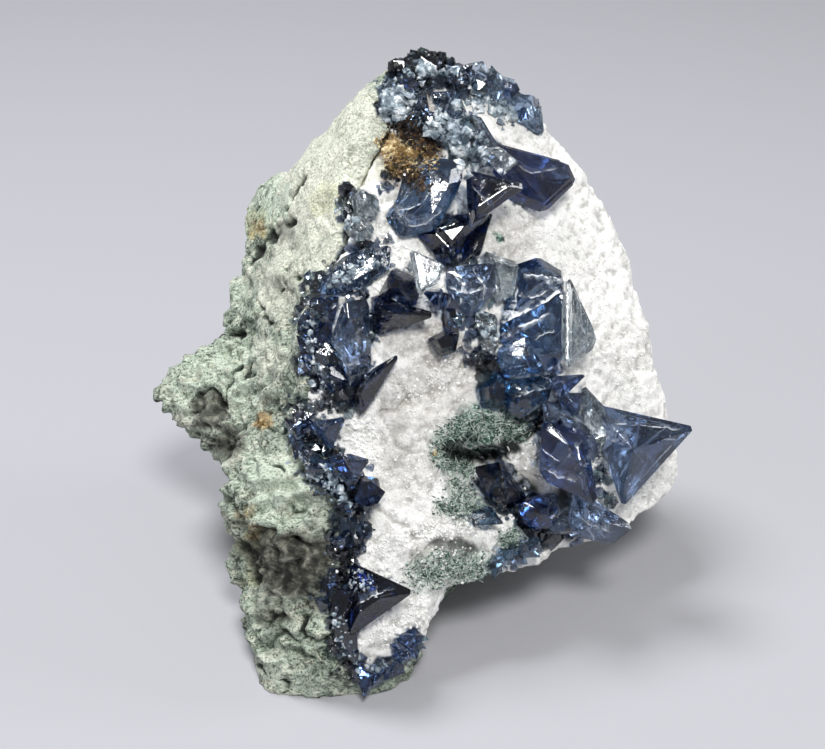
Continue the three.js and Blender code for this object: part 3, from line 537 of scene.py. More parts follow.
# Fissures in the matrix: the line in the layout, half its width and its depth, in millimetres.
FISSURES = [
    ([(-24.6, -18.1), (-22.8, -21.4), (-19.2, -22.8), (-16.5, -23.9), (-12.9, -25.2)], 1.3, 1.7),
    ([(-20.4, 19.2), (-17.1, 21.8)], 1.0, 1.1),
    ([(-18.1, 15.8), (-17.4, 13.8), (-14.4, 13.4), (-13.9, 11.6)], 0.9, 1.3),
    ([(-20.3, 10.4), (-18.8, 11.9)], 0.6, 0.9),
    ([(-21.8, 8.2), (-20.1, 6.7), (-18.4, 8.4), (-16.6, 8.4)], 0.8, 1.1),
    ([(-22.8, 4.2), (-22.3, 1.5), (-23.1, -0.9), (-21.5, 0.5)], 0.7, 1.0),
    ([(-25.7, 6.2), (-23.8, 5.0), (-23.8, 2.5), (-25.7, -1.9), (-26.2, -4.4)], 0.8, 1.2),
    ([(-30.5, -3.2), (-28.2, -2.0), (-26.6, -5.4)], 0.9, 1.3),
    ([(-20.0, -13.2), (-17.3, -14.3), (-14.8, -15.4)], 0.7, 0.9),
    ([(-16.4, -23.4), (-14.2, -24.4)], 1.3, 1.6),
    ([(-21.4, -26.5), (-19.2, -31.0), (-20.2, -36.0)], 0.8, 0.9),
    ([(-16.5, -27.0), (-14.6, -31.4), (-15.2, -36.8)], 0.7, 0.8),
    ([(-22.2, -41.4), (-18.1, -44.1), (-18.6, -46.2)], 0.8, 1.0),
    ([(-15.6, 28.0), (-17.2, 24.9), (-20.6, 19.9), (-23.2, 16.0)], 0.9, 1.2),
]


# Seams in the crust and the gaps of its green hollow, in the same form; the gaps' black is painted shade.
CRUST_SEAMS = [
    ([(-1.9, -1.2), (-0.4, -3.6), (-2.2, -5.0), (-4.6, -5.4)], 0.5, 0.6),
    ([(-4.6, -5.4), (-3.4, -8.4), (-2.0, -10.6), (0.8, -11.4)], 0.4, 0.35),
    ([(-6.6, -16.6), (-4.4, -19.4), (-3, -21), (-0.6, -21.8)], 0.4, 0.35),
    ([(-0.4, -22.6), (1.2, -26), (0.2, -28)], 0.4, 0.4),
    ([(7.6, 1.4), (5.4, -1.4), (5.8, -4)], 0.4, 0.35),
    ([(4.6, -11.4), (8.0, -11.9), (11.0, -11.8)], 1.2, 2.2),
    ([(11.8, -11.6), (14.4, -10.0), (17.6, -7.8)], 1.0, 0.6),
    ([(15.6, -15.6), (17.2, -18.4), (19.6, -20.8), (22, -22)], 1.3, 2.2),
    ([(15.2, -19.6), (16.8, -22.4), (18.4, -24.4)], 1.2, 1.8),
    ([(20.8, -16.6), (24, -18)], 1.0, 1.4),
    ([(12.4, -11.8), (16, -12.2), (20.4, -11.6)], 0.3, 0.4),
    ([(13.8, -14.2), (17, -14), (20.8, -14.8)], 0.3, 0.4),
    ([(15.4, -9.8), (16.2, -13), (17.6, -17)], 0.3, 0.4),
    ([(18.4, -9.4), (18.8, -13), (19.8, -17)], 0.3, 0.4),
    ([(2.4, -25), (4.4, -24), (6.6, -24.2), (8.6, -25)], 0.9, 0.8),
]


def rock_relief(point, normal):
    """Schist: folded layers and broken lumps, rougher low down, with fissures."""
    q = point / MM
    low = 1 - fade(q.z, 22, 58)
    warp = noise.noise_vector(q / 9) * 3
    lumps = 1 - 2 * abs(noise.noise((q + warp) / 5.2))
    folded = Vector((q.x * 0.35 + q.z * 0.25, q.y * 0.5, q.z - 0.4 * q.x)) + warp
    layers = 1 - 2 * abs(noise.noise(folded / 2.6))
    chips = 1 - 2 * abs(noise.noise((q - warp) / 2.2))
    fine = noise.turbulence(q / 2.1, 3, False)
    grit = noise.noise(q / 0.9)
    height = 0.55 * lumps + (0.2 + 0.7 * low) * layers + (0.12 + 0.4 * low) * chips
    height = height + 0.4 * fine + 0.15 * grit - 0.35
    height *= (0.5 + 0.8 * low) * (0.25 + 0.75 * fade(q.z, 0.5, 6))
    level = 0.55 + 0.4 * (0.45 * lumps + 0.35 * layers + 0.3 * chips)
    lump_distances, _ = noise.voronoi((q + 0.7 * warp) / 4.2)
    seam = 1 - fade(lump_distances[1] - lump_distances[0], 0.0, 0.16)
    here = fade(noise.noise(q / 6 + Vector((3, 1, 0))), -0.15, 0.2)
    seam *= here * (0.3 + 0.7 * fade(70 - q.z, 12, 30))
    height -= 0.9 * seam * fade(q.z, 0, 4)
    level -= 0.5 * seam
    if turned_away(point, normal) < 0:
        u, v = to_layout(point)
        u += 0.7 * noise.noise(q / 1.7)
        v += 0.7 * noise.noise(q / 1.7 + Vector((5, 0, 0)))
        for line, half, depth in FISSURES:
            if abs(u - line[0][0]) < 14 and abs(v - line[0][1]) < 14:
                cut = 1 - fade(off_line(u, v, line), 0.1 * half, 0.75 * half)
                cut *= fade(noise.noise(q / 2.3), -0.35, 0.15)
                height -= depth * cut
                level -= 0.85 * cut
    return height * MM, min(max(level, 0), 1)


def crust_relief(point, normal):
    """Natrolite: sugary clumps, proud and ragged round the crystals."""
    q = point / MM
    warp = noise.noise_vector(q / 3) * 1.6
    distances, _ = noise.voronoi((q + warp) / 2.4)
    clumps = 1 - min(distances[0] * 1.1, 1)
    swell = noise.noise(q / 7)
    rough = noise.turbulence(q / 1.6, 3, False)
    crumb = noise.noise(q / 0.55)
    beside = crystal_tree.find(point)[2] / MM
    rim = 1 - fade(beside, 0.4, 2.4)
    ragged = 0.5 + 0.5 * noise.noise(q / 1.1)
    height = 0.08 * clumps + 0.4 * swell + 0.35 * rough + 0.12 * crumb
    height = height + 0.75 * rim * ragged - 0.15
    level = 0.4 + 0.5 * rough + 0.3 * crumb
    if turned_away(point, normal) < 0:
        u, v = to_layout(point)
        u += 0.5 * noise.noise(q / 1.4)
        v += 0.5 * noise.noise(q / 1.4 + Vector((5, 0, 0)))
        for line, half, depth in CRUST_SEAMS:
            if abs(u - line[0][0]) < 12 and abs(v - line[0][1]) < 12:
                cut = 1 - fade(off_line(u, v, line), 0.1 * half, half)
                height -= depth * cut
                level -= 0.6 * cut
    return height * MM, min(max(level, 0), 1)


def crystal_points():
    """The crystals' corners and the middles of their faces, to find what is beside one."""
    points = []
    for node in frame["nodes"].values():
        if node.name.startswith("benitoite_"):
            points += [vertex.co.copy() for vertex in node.data.vertices]
            points += [face.center.copy() for face in node.data.polygons]
    tree = KDTree(len(points))
    for number, point in enumerate(points):
        tree.insert(point, number)
    tree.balance()
    return tree


def mark_covered(piece, cover):
    """Marks what lies close under a crystal, where the materials paint a dark blue-grey shade on the stone.
    """
    values = []
    for vertex in piece.data.vertices:
        start = vertex.co + vertex.normal * 0.25 * MM
        hit = cover.ray_cast(start, vertex.normal, COVER_REACH)[0]
        values.append(0.0 if hit is None else 0.9)
    store(piece.data, "crystal_shade", values)


def raise_step(shape, face, chance):
    """A growth step: a low terrace over part of a crystal's face, with its riser along one of the edges."""
    edge = max(face.edges, key=lambda e: e.calc_length() * chance.uniform(0.6, 1))
    normal = face.normal.copy()
    run = (edge.verts[1].co - edge.verts[0].co).normalized()
    across = normal.cross(run)
    reaches = [vertex.co.dot(across) for vertex in face.verts]
    low, high = min(reaches), max(reaches)
    level = low + (high - low) * chance.uniform(0.3, 0.7)
    lean = (across + run * chance.uniform(-0.15, 0.15)).normalized()
    middle = face.calc_center_median()
    cut = middle + across * (level - middle.dot(across))
    bmesh.ops.bisect_plane(
        shape, geom=[face, *face.edges, *face.verts], dist=0.01 * MM, plane_co=cut, plane_no=lean
    )
    halves = [
        half for half in shape.faces
        if half.normal.dot(normal) > 0.9999 and (half.calc_center_median() - cut).dot(lean) > 0
        and abs((half.calc_center_median() - cut).dot(normal)) < 0.01 * MM
    ]
    if halves:
        rise = chance.uniform(0.07, 0.2) * MM
        bmesh.ops.inset_individual(
            shape, faces=halves[:1], thickness=0.1 * MM, depth=rise, use_even_offset=True
        )


def crystal_piece(node, material, chance):
    """A crystal with its edges barely rounded and a growth step on each large face."""
    shape = merged_copy(node)
    bmesh.ops.dissolve_limit(shape, angle_limit=math.radians(2), verts=shape.verts, edges=shape.edges)
    for face in [face for face in shape.faces if face.calc_area() > LARGE_FACE]:
        if face.is_valid:
            raise_step(shape, face, chance)
    bmesh.ops.remove_doubles(shape, verts=shape.verts, dist=0.01 * MM)
    edges = [edge for edge in shape.edges if edge.calc_face_angle(0) > math.radians(14)]
    bmesh.ops.bevel(
        shape, geom=edges, offset=EDGE_WIDTH, offset_type="OFFSET", segments=1, profile=0.5,
        affect="EDGES", clamp_overlap=True, material=-1,
    )
    piece = new_piece(node.replace("benitoite_", "crystal_"), shape, material)
    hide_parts(node)
    return piece


# Small things grown on the surface


class Ground:
    """The finished surfaces, to find where the camera sees them and what is near."""

    def __init__(self, pieces):
        self.kinds = []
        gathered = bmesh.new()
        for piece, kind in pieces:
            gathered.from_mesh(piece.data)
            gathered.faces.ensure_lookup_table()
            self.kinds += [kind] * (len(gathered.faces) - len(self.kinds))
        self.tree = BVHTree.FromBMesh(gathered)
        gathered.free()

    def seen_at(self, u, v):
        """The place, normal and kind of what the camera sees at a layout place."""
        ray = (from_layout(u, v) - EYE).normalized()
        place, normal, index, _ = self.tree.ray_cast(EYE, ray)
        if place is None:
            return None, None, None
        if normal.dot(ray) > 0:
            normal = -normal
        return place, normal, self.kinds[index]


def along(path, share):
    """A point on a line through layout places."""
    lengths = [math.dist(a, b) for a, b in zip(path, path[1:])]
    left = share * sum(lengths)
    for (a, b), length in zip(zip(path, path[1:]), lengths):
        if left <= length:
            t = left / length
            return a[0] + (b[0] - a[0]) * t, a[1] + (b[1] - a[1]) * t
        left -= length
    return path[-1]


def turned(normal, tilt, chance):
    """A turn that stands a shape on a surface, tipped and spun by chance."""
    stand = normal.to_track_quat("Z", "Y").to_matrix().to_4x4()
    lean_x = Matrix.Rotation(chance.uniform(-tilt, tilt), 4, "X")
    lean_y = Matrix.Rotation(chance.uniform(-tilt, tilt), 4, "Y")
    spin = Matrix.Rotation(chance.uniform(0, 2 * math.pi), 4, "Z")
    return stand @ (lean_x @ lean_y) @ spin


def grow_dipyramid(shape, place, turn, size, chance):
    """A benitoite crystal: a flattened three-sided double pyramid with cut tips."""
    own = bmesh.new()
    sides = 3 if chance.random() < 0.7 else 6
    tall = size * chance.uniform(0.45, 0.9)
    for way in (1, -1):
        tip = size * chance.uniform(0.15, 0.5)
        half = Matrix.Diagonal((1, 1, way, 1)) @ Matrix.Translation((0, 0, tall / 2))
        bmesh.ops.create_cone(
            own, cap_ends=False, segments=sides, radius1=size, radius2=tip, depth=tall, matrix=half
        )
    bmesh.ops.remove_doubles(own, verts=own.verts, dist=size * 0.01)
    bmesh.ops.holes_fill(own, edges=own.edges, sides=0)
    bmesh.ops.recalc_face_normals(own, faces=own.faces)
    stretch = Matrix.Diagonal((chance.uniform(0.8, 1.3), 1, 1, 1))
    take_in(shape, own, Matrix.Translation(place) @ turn @ stretch)


def grow_grain(shape, place, turn, size, chance):
    """A blocky sugar grain."""
    own = bmesh.new()
    bmesh.ops.create_icosphere(own, subdivisions=1, radius=size)
    for vertex in own.verts:
        vertex.co *= chance.uniform(0.75, 1.25)
    stretch = Matrix.Diagonal((1, chance.uniform(0.6, 1), chance.uniform(0.5, 1.1), 1))
    take_in(shape, own, Matrix.Translation(place) @ turn @ stretch)


def grow_blade(shape, place, turn, size, chance):
    """A thin fibre that stands out of the rock and leans."""
    own = bmesh.new()
    length = size * chance.uniform(2, 5)
    bmesh.ops.create_cone(
        own, cap_ends=True, segments=4, radius1=size * 0.28, radius2=size * 0.08, depth=length,
        matrix=Matrix.Translation((0, 0, length * 0.3)),
    )
    take_in(shape, own, Matrix.Translation(place) @ turn)


def take_in(shape, own, matrix=None):
    """Adds a loose shape to a piece's shape, moved by a matrix."""
    if matrix is not None:
        bmesh.ops.transform(own, matrix=matrix, verts=own.verts)
    mesh = bpy.data.meshes.new("loose")
    own.to_mesh(mesh)
    own.free()
    shape.from_mesh(mesh)
    bpy.data.meshes.remove(mesh)


class Band(NamedTuple):
    """Where small shapes grow: a line in the layout, how far they stray from it, how many, and their sizes.

    Lengths are in millimetres. The lift is how high a shape's middle sits, in its own sizes.
    """

    path: list
    width: float
    count: int
    small: float
    large: float
    lift: float = 0.1


def thinned(bands, share, **changes):
    """The same bands with a share of their shapes."""
    return [band._replace(count=int(band.count * share), **changes) for band in bands]


def scatter(bands, grow, seed, accepts, tilt):
    """Small shapes along bands of the ground. Accepts says what share of them each kind of it takes."""
    chance = random.Random(seed)
    shape = bmesh.new()
    for band in bands:
        for _ in range(band.count):
            u, v = along(band.path, chance.random())
            u += chance.triangular(-band.width, band.width)
            v += chance.triangular(-band.width, band.width)
            place, normal, kind = ground.seen_at(u, v)
            if kind is None or chance.random() > accepts.get(kind, 0):
                continue
            size = band.small + (band.large - band.small) * chance.random() ** 2
            place = place + normal * size * MM * band.lift
            if place.z < size * MM:
                continue
            grow(shape, place, turned(normal, tilt, chance), size * MM, chance)
    return shape


def grown_piece(name, material, bands, grow, seed, accepts, tilt=0.9):
    """A piece of small shapes along bands."""
    new_piece(name, scatter(bands, grow, seed, accepts, tilt), material)


def crack_sheet(shape, strength, line, depth, spread, seed):
    """A crumpled sheet that goes down into a crystal from a line on its face: a healed crack."""
    chance = random.Random(seed)
    own = bmesh.new()
    bmesh.ops.create_grid(own, x_segments=22, y_segments=7, size=0.5)
    layer = own.verts.layers.float.new("strong")
    shift = Vector((chance.uniform(0, 50), chance.uniform(0, 50), 0))
    for vertex in own.verts:
        share = vertex.co.x + 0.5
        down = 0.5 - vertex.co.y
        u, v = along(line, share)
        u += 0.28 * noise.noise(Vector((share * 9, 0, 0)) + shift)
        v += 0.28 * noise.noise(Vector((share * 9, 7, 0)) + shift)
        place, normal, kind = ground.seen_at(u, v)
        if kind != "crystal":
            vertex.tag = True
            continue
        run = Vector((line[-1][0] - line[0][0], 0, line[-1][1] - line[0][1])).normalized()
        aside = normal.cross(run)
        crumple = 0.35 * noise.noise(Vector((share * 12, down * 5, 3)) + shift)
        rise = 0.04 - depth * down * down
        vertex.co = place + normal * rise * MM + aside * (spread + crumple) * down * MM
        ends = min(share, 1 - share)
        vertex[layer] = strength * fade(ends, 0, 0.15) * (1 - 0.5 * down)
    bmesh.ops.delete(own, geom=[vertex for vertex in own.verts if vertex.tag], context="VERTS")
    take_in(shape, own)


# The specimen

add_camera()
add_floor()
add_world(strength=0.27)
add_light("key", (0.08, -0.38, 0.6), 0.2, 4.1, (1, 0.99, 0.97))
add_light("over", (-0.22, 0.16, 0.66), 0.26, 4.4, (0.97, 0.98, 1))
add_light("right", (0.62, 0.05, 0.34), 0.26, 1.2)
add_light("left", (-0.6, -0.3, 0.3), 0.22, 0.6, (0.96, 0.98, 1))
bpy.context.scene.view_settings.view_transform = "Standard"

grain = grain_group()
facets = facet_group()
schist = matrix_material(grain)
natrolite = natrolite_material(grain)

# The clear crystals' materials: the colour they let through, how densely they absorb the rest, their tint,
# how rough they are where clear and where frosted, and the mottling above which they are broken.
CLEAR = {
    "benitoite_navy": ((0.14, 0.3, 0.54), 720, "c3cfe6", 0.04, 0.16, 0.63),
    "benitoite_blue": ((0.25, 0.45, 0.72), 400, "c9d6ec", 0.05, 0.2, 0.62),
    "benitoite_steel": ((0.28, 0.49, 0.7), 250, "d3deee", 0.1, 0.26, 0.62),
    "benitoite_satin": ((0.29, 0.43, 0.67), 420, "ccd6ea", 0.15, 0.27, 0.85),
    "benitoite_slate": ((0.3, 0.44, 0.62), 215, "d8dfeb", 0.1, 0.28, 0.7),
    "benitoite_teal": ((0.22, 0.45, 0.64), 420, "c8d8e2", 0.09, 0.26, 0.6),
    "benitoite_ice": ((0.66, 0.76, 0.8), 85, "eef3f6", 0.1, 0.34, 0.64),
    "benitoite_sky": ((0.5, 0.68, 0.86), 190, "e6eef6", 0.08, 0.3, 0.58),
    "benitoite_druse": ((0.36, 0.52, 0.7), 260, "dfe7f0", 0.05, 0.25, 0.5),
    "small_dark": ((0.22, 0.38, 0.62), 800, "c3cfe6", 0.04, 0.16, 0.55),
    "small_teal": ((0.21, 0.48, 0.63), 460, "cbdde4", 0.06, 0.24, 0.55),
}
clear = {name: benitoite_material(name, grain, facets, *values) for name, values in CLEAR.items()}

# Each finish and the crystals that have it.
FINISHES = {
    "navy": ["bottom_triangle", "centre_dark", "centre_dark_2", "centre_hook", "left_blade", "hollow_dark",
             "under_oval", "upper_grey", "rim_2"],
    "blue": ["hollow_right", "bottom_edge", "left_druse", "low_left", "low_left_2"],
    "satin": ["spear", "spear_2", "top_right", "wing", "wing_2"],
    "steel": ["big_plate", "upper_oval"],
    "slate": ["big_pyramid", "low_wedge", "wing_back", "upper_grey_2", "left_large", "fan"],
    "teal": ["round_blob", "facets", "chin", "chin_2", "hollow_left", "low_left_teal"],
    "ice": ["clear_plate", "clear_upper", "clear_lower", "clear_chip", "grey_blade", "left_beads",
            "centre_plate"],
    "sky": ["rim"],
    "druse": ["cap", "cap_2", "cap_3", "cap_4", "cap_5", "left_upper"],
}
finish_of = {name: finish for finish, names in FINISHES.items() for name in names}

crystal_tree = crystal_points()
chance = random.Random(5)
heroes = []
for part in frame["record"]["subparts"]:
    node, slot = part["node"], part["material_slot"]
    if slot.startswith("benitoite_"):
        finish = finish_of[node.removeprefix("benitoite_")]
        heroes.append(crystal_piece(node, clear["benitoite_" + finish], chance))

rock = fine_copy("matrix", "schist", ROCK_VOXEL, 5, schist)
raise_surface(rock, rock_relief)
crust = fine_copy("natrolite_crust", "natrolite", CRUST_VOXEL, 4, natrolite)
raise_surface(crust, crust_relief)

# Patches in the layout: place, radius and strength.
ROCK_PATCHES = {
    # Pale: a paler zone of the rock, and painted light on the upward-facing upper flank and bulge.
    "pale": [(-12, 27, 10, 1.0), (-15, 20, 7, 0.85), (-19, 12, 6, 0.6), (-9, 36, 7, 0.9), (-21, 2, 4, 0.5),
             (-19, -16, 6, 0.7), (-27, -1, 6, 0.35)],
    "mint": [(-28, 0, 8, 0.85), (-21, 25, 5, 0.7), (-25, 11, 4, 0.6), (-20, -17, 7, 0.9), (-19, 33, 5, 0.5),
             (-20, -38, 9, 0.35), (-13, -38, 6, 0.35)],
    "yellow": [(-12.5, 25, 3, 0.5), (-23, -25.4, 2.6, 0.7), (-22.4, 21.6, 2.4, 0.6), (-22.6, -29, 2, 0.5)],
    # Shade: painted shade under the bulge, in the horn's hollow and in other recesses.
    "shade": [(-18, -27, 6.5, 1.0), (-22.6, -25.2, 3, 0.9), (-14, -26, 4.4, 0.95), (-13.4, -31, 4, 0.6),
              (-29, -5, 3.4, 0.9), (-26, -9.6, 3, 0.8), (-20, -33, 4, 0.5), (-18.6, 20.6, 2, 0.6),
              (-15.4, 2, 2.4, 0.4)],
    "rust": [(-21.5, -6.8, 1.7, 1.0), (-22.2, 21, 1.4, 0.7), (-23.6, -19.4, 1.5, 0.7),
             (-22.6, -22.4, 1.5, 0.6)],
    "green": [(12, -17, 8, 0.9), (10, -31, 7, 0.7), (15, -29, 4, 0.7)],
}
CRUST_PATCHES = {
    "green": [(9.6, -8, 5.2, 1.0), (5.6, -11, 3, 0.9), (14.6, -7.6, 3, 1.0), (6.4, -13.2, 2.6, 0.9),
              (7, -16.4, 3, 0.4), (7.6, -19, 3.8, 0.8), (7.5, -28.2, 6, 0.4), (2.4, -28.6, 4.4, 0.3),
              (14.4, -24, 3, 0.9), (12.3, 19.9, 0.8, 1.0)],
    # Shade: painted black shade in the gaps of the green hollow and over the chin's arch.
    "shade": [(6.2, -11.6, 1.1, 0.9), (8.2, -11.9, 1.5, 1.0), (10.4, -12, 1.7, 1.0), (12.2, -11.4, 1.7, 1.0),
              (14, -10.2, 1.7, 1.0), (16, -8.8, 1.7, 1.0), (18, -7.6, 2, 0.9), (16, -16.6, 1.9, 1.0),
              (17.4, -18.6, 2.2, 1.0), (19.2, -20.6, 2.4, 1.0), (21.4, -21.8, 2.2, 0.9),
              (15.6, -20.6, 2.2, 0.9), (17.2, -23.2, 2.4, 1.0), (21.6, -17.4, 1.8, 0.9),
              (23.8, -17.8, 1.6, 0.8), (3.8, -24.8, 1.3, 0.6), (6, -24.4, 1.5, 0.7), (8.2, -25, 1.3, 0.6)],
    "grey": [(4, 4, 4.6, 0.9), (1, -4, 7, 0.5), (-1, -14, 7, 0.35), (8, 0, 4, 0.6), (14, 19, 4.6, 0.6),
             (30, 4, 5, 0.2), (17, -14.6, 3.4, 0.6), (4, -24, 6, 0.3), (-1, 6, 4, 0.6)],
    "pale": [(-7, 31, 5, 0.9), (-9, 26, 3, 0.8)],
    "rust": [(-3, 32.6, 3.6, 0.9), (1.2, 32, 4, 1.0), (-2.6, 29, 3, 0.9), (1, 38, 4, 0.7),
             (3.1, -11.1, 0.8, 1.0)],
}
for name, patches in ROCK_PATCHES.items():
    paint(rock, name, patches)
for name, patches in CRUST_PATCHES.items():
    paint(crust, name, patches)

ground = Ground([(rock, "rock"), (crust, "crust")] + [(hero, "crystal") for hero in heroes])
covers = Ground([(hero, "crystal") for hero in heroes])
mark_covered(rock, covers.tree)
mark_covered(crust, covers.tree)

# The bands of small crystals, of medium ones and of frosted ones.
BANDS = [
    Band([(-3.5, 42), (3, 43.5), (7, 41), (5, 36), (7, 31)], 3.4, 300, 0.4, 1.5),
    Band([(-3, 38), (0, 35), (3, 33)], 2.4, 100, 0.3, 1.0),
    Band([(-3, 43.4), (1, 45.2), (4.6, 44.6)], 1.3, 200, 0.4, 1.3),
    Band([(8, 42.4), (13, 41), (17, 37.4)], 2, 200, 0.4, 1.4),
    Band([(-9.5, 26.5), (-8.6, 21), (-6, 17)], 1.8, 150, 0.4, 1.1),
    Band([(-5, 26), (-1, 29.5), (3, 31)], 1.6, 110, 0.3, 0.9),
    Band([(-4, 17), (-9, 15), (-13.5, 12), (-14.5, 7), (-13.6, 1), (-12, -3), (-8, -4)], 2.8, 620, 0.4, 1.4),
    Band([(-8, 12), (-6.5, 5), (-8, 0)], 2.2, 150, 0.4, 1.1),
    Band([(-15.8, -4.4), (-15, -9), (-12, -13), (-8, -15.4), (-9, -20), (-9.6, -26)], 3, 520, 0.4, 1.5),
    Band([(4, 22), (6, 17), (8, 12), (9.6, 4), (12, 0), (15, -4), (19, -7)], 3, 420, 0.4, 1.4),
    Band([(19, 2), (22, -4), (24, -9), (25, -14), (27, -19), (28, -22)], 2.6, 240, 0.4, 1.3),
    Band([(11, -13), (14, -19), (18, -22), (23, -23), (27, -23.4)], 2.4, 300, 0.4, 1.4),
    Band([(12, -27), (15, -26), (18, -24)], 1.6, 60, 0.4, 1.3),
    Band([(-9, -27), (-11.4, -33), (-10, -40), (-8, -42.6)], 1.8, 200, 0.4, 1.3),
    Band([(-8, -43), (-4, -42.4), (-1, -40), (1, -37.4)], 1.2, 140, 0.4, 1.2),
]
MEDIUM_BANDS = [
    Band([(-4, 17), (-9, 15), (-13.5, 12), (-14.5, 7), (-13.6, 1)], 2.2, 34, 1.2, 2.4),
    Band([(-15.6, -4.4), (-14.6, -9), (-12, -13), (-8, -15.4), (-9, -20), (-9.6, -24)], 2.6, 70, 1.2, 2.6),
    Band([(-3, 40), (2, 42), (6, 40), (6, 35), (8, 32)], 3, 60, 1.0, 2.0),
    Band([(9.6, 4), (12, 0), (15, -4), (19, -7)], 2.6, 30, 1.2, 2.2),
    Band([(11, -13), (14, -19), (18, -22), (23, -23)], 2, 36, 1.2, 2.2),
    Band([(-9, -27), (-11.4, -33), (-10, -40), (-5, -43), (0, -39)], 1.4, 40, 1.0, 1.8),
]
FROST_BANDS = [
    Band([(-3.4, 41), (-2.6, 37.6), (-1, 39.4)], 1.9, 420, 0.3, 0.9),
    Band([(-0.4, 43.4), (5, 42.4)], 1.7, 210, 0.3, 0.9),
    Band([(2.4, 35.6), (6, 33.6), (9, 30), (7.6, 37)], 2.4, 330, 0.35, 1.1),
    Band([(8, 39), (12, 38.6), (14, 36.4)], 1.6, 120, 0.3, 1.0),
    Band([(-12, 13), (-7, 15.6), (-4, 16)], 1.6, 110, 0.2, 0.6),
    Band([(-14.4, 9), (-14.6, 2), (-12, -2)], 2.2, 110, 0.2, 0.6),
    Band([(-13.6, -14.4), (-10.4, -15.6), (-9.6, -18.6)], 2, 170, 0.25, 0.7),
    Band([(-9, -29.6), (-6, -30)], 2.2, 60, 0.12, 0.4),
    Band([(-10, 24), (-8.6, 21)], 1.6, 70, 0.2, 0.6),
    Band([(10, 8), (12.4, 4)], 1.4, 50, 0.25, 0.7),
    Band([(-11, -34), (-9, -41), (-4, -42)], 1.4, 90, 0.2, 0.6),
]

# What share of the small shapes each kind of ground takes.
on_stone = {"rock": 0.9, "crust": 0.7, "crystal": 0.06}
on_all = {"rock": 0.9, "crust": 0.6, "crystal": 0.8}
on_crust = {"crust": 1}
on_both = {"crust": 1, "rock": 1}
anywhere = {"crust": 1, "rock": 1, "crystal": 0.5}

dark_bands = thinned(BANDS, 0.6) + thinned(MEDIUM_BANDS, 0.65, lift=-0.1)
teal_bands = thinned(BANDS, 0.3) + thinned(MEDIUM_BANDS, 0.35, lift=-0.1)
small_dark, small_teal = clear["small_dark"], clear["small_teal"]
# Opaque pale frosted grains. Their white also stands in for the druse's glints, as painted highlights.
frost = granule_material("frosted_benitoite", "2c3a47", "8d9ca6", "f4f7f8", 0.15, grain, size=1.5)
grown_piece("small_dark_crystals", small_dark, dark_bands, grow_dipyramid, 21, on_stone)
grown_piece("small_teal_crystals", small_teal, teal_bands, grow_dipyramid, 31, on_stone)
grown_piece("frosted_crystals", frost, FROST_BANDS, grow_dipyramid, 41, on_all)

# Healed cracks: line in the layout, depth and spread in millimetres, and strength.
CRACKS = [
    ([(12.0, 6.6), (14.6, 8.1), (18.2, 9.8), (22.6, 12.6)], 0.3, 1.5, 1.0),
    ([(12.2, 5.6), (15.4, 6.9), (19.8, 9.0)], 0.3, -0.9, 0.9),
    ([(12.6, 7.2), (14.9, 9.8), (15.0, 12.8)], 0.4, 0.9, 0.9),
    ([(14.8, 11.2), (17.5, 10.9), (20.4, 12.4)], 0.5, 0.9, 0.8),
    ([(15.8, 14.4), (19, 14.2), (22.2, 13.2)], 0.4, -1.2, 0.9),
    ([(17.5, 4.8), (18.9, 5.9), (20.6, 6.2)], 1.4, 0.7, 0.7),
    ([(5.2, 14.9), (7.2, 12.8), (6.6, 9.6)], 0.4, 0.7, 1.0),
    ([(8.4, 15.2), (10.2, 12.6), (10.0, 10.2)], 0.4, 0.7, 1.0),
    ([(5.0, 12.4), (7.8, 11.4), (10.6, 12.4)], 0.4, 0.6, 0.9),
    ([(14.1, -0.6), (17.4, -0.2), (20, -0.6)], 1.4, 0.7, 0.8),
    ([(14.6, -3.4), (17, -2.4), (19.7, -1.9)], 1.6, 1, 0.7),
    ([(16.2, -6.0), (18.2, -4.2)], 1.2, 0.4, 0.6),
    ([(-3.1, 10.9), (-0.3, 8.9)], 1.4, 0.8, 0.8),
    ([(-7.5, -1.9), (-4.5, 2.0)], 1, 0.4, 0.7),
    ([(-12.1, 8.5), (-9.1, 11.6), (-4.2, 13.2)], 1.2, 0.7, 1.0),
    ([(-11.6, 4), (-9.6, 1.2), (-7, 1.6)], 1.4, 0.8, 0.8),
    ([(-2.6, 23), (1.4, 24.4), (4, 28)], 1.6, 1.1, 0.6),
    ([(-1.6, 21), (2, 21.4), (4.6, 24)], 1.2, 0.8, 0.6),
    ([(8.4, 27), (11.2, 24)], 1, 0.5, 0.5),
    ([(24.8, -8.4), (27.6, -8.8), (30.4, -10.4)], 2.2, 2, 0.8),
    ([(28, -7), (33, -7.4), (38.6, -8)], 1.6, 1.4, 0.5),
    ([(18.8, -13.4), (21, -14.8), (24.6, -15.6)], 1.6, 1.1, 0.6),
    ([(23.2, 12), (23.8, 8), (24.8, 5)], 1, 0.7, 0.4),
    ([(-8, -33), (-5, -31.4), (-2.4, -30.6)], 1.4, 1.1, 0.6),
    ([(22.6, -19), (25, -21.4), (28.4, -22.6)], 1.4, 0.8, 0.6),
    ([(13, 31), (17, 28.6), (21, 29.4)], 1.6, 1.3, 0.3),
]
veils = bmesh.new()
veils.verts.layers.float.new("strong")
for number, (line, depth, spread, strength) in enumerate(CRACKS):
    crack_sheet(veils, strength, line, depth, spread, 60 + number)
new_piece("fracture_veils", veils, fracture_material(grain))

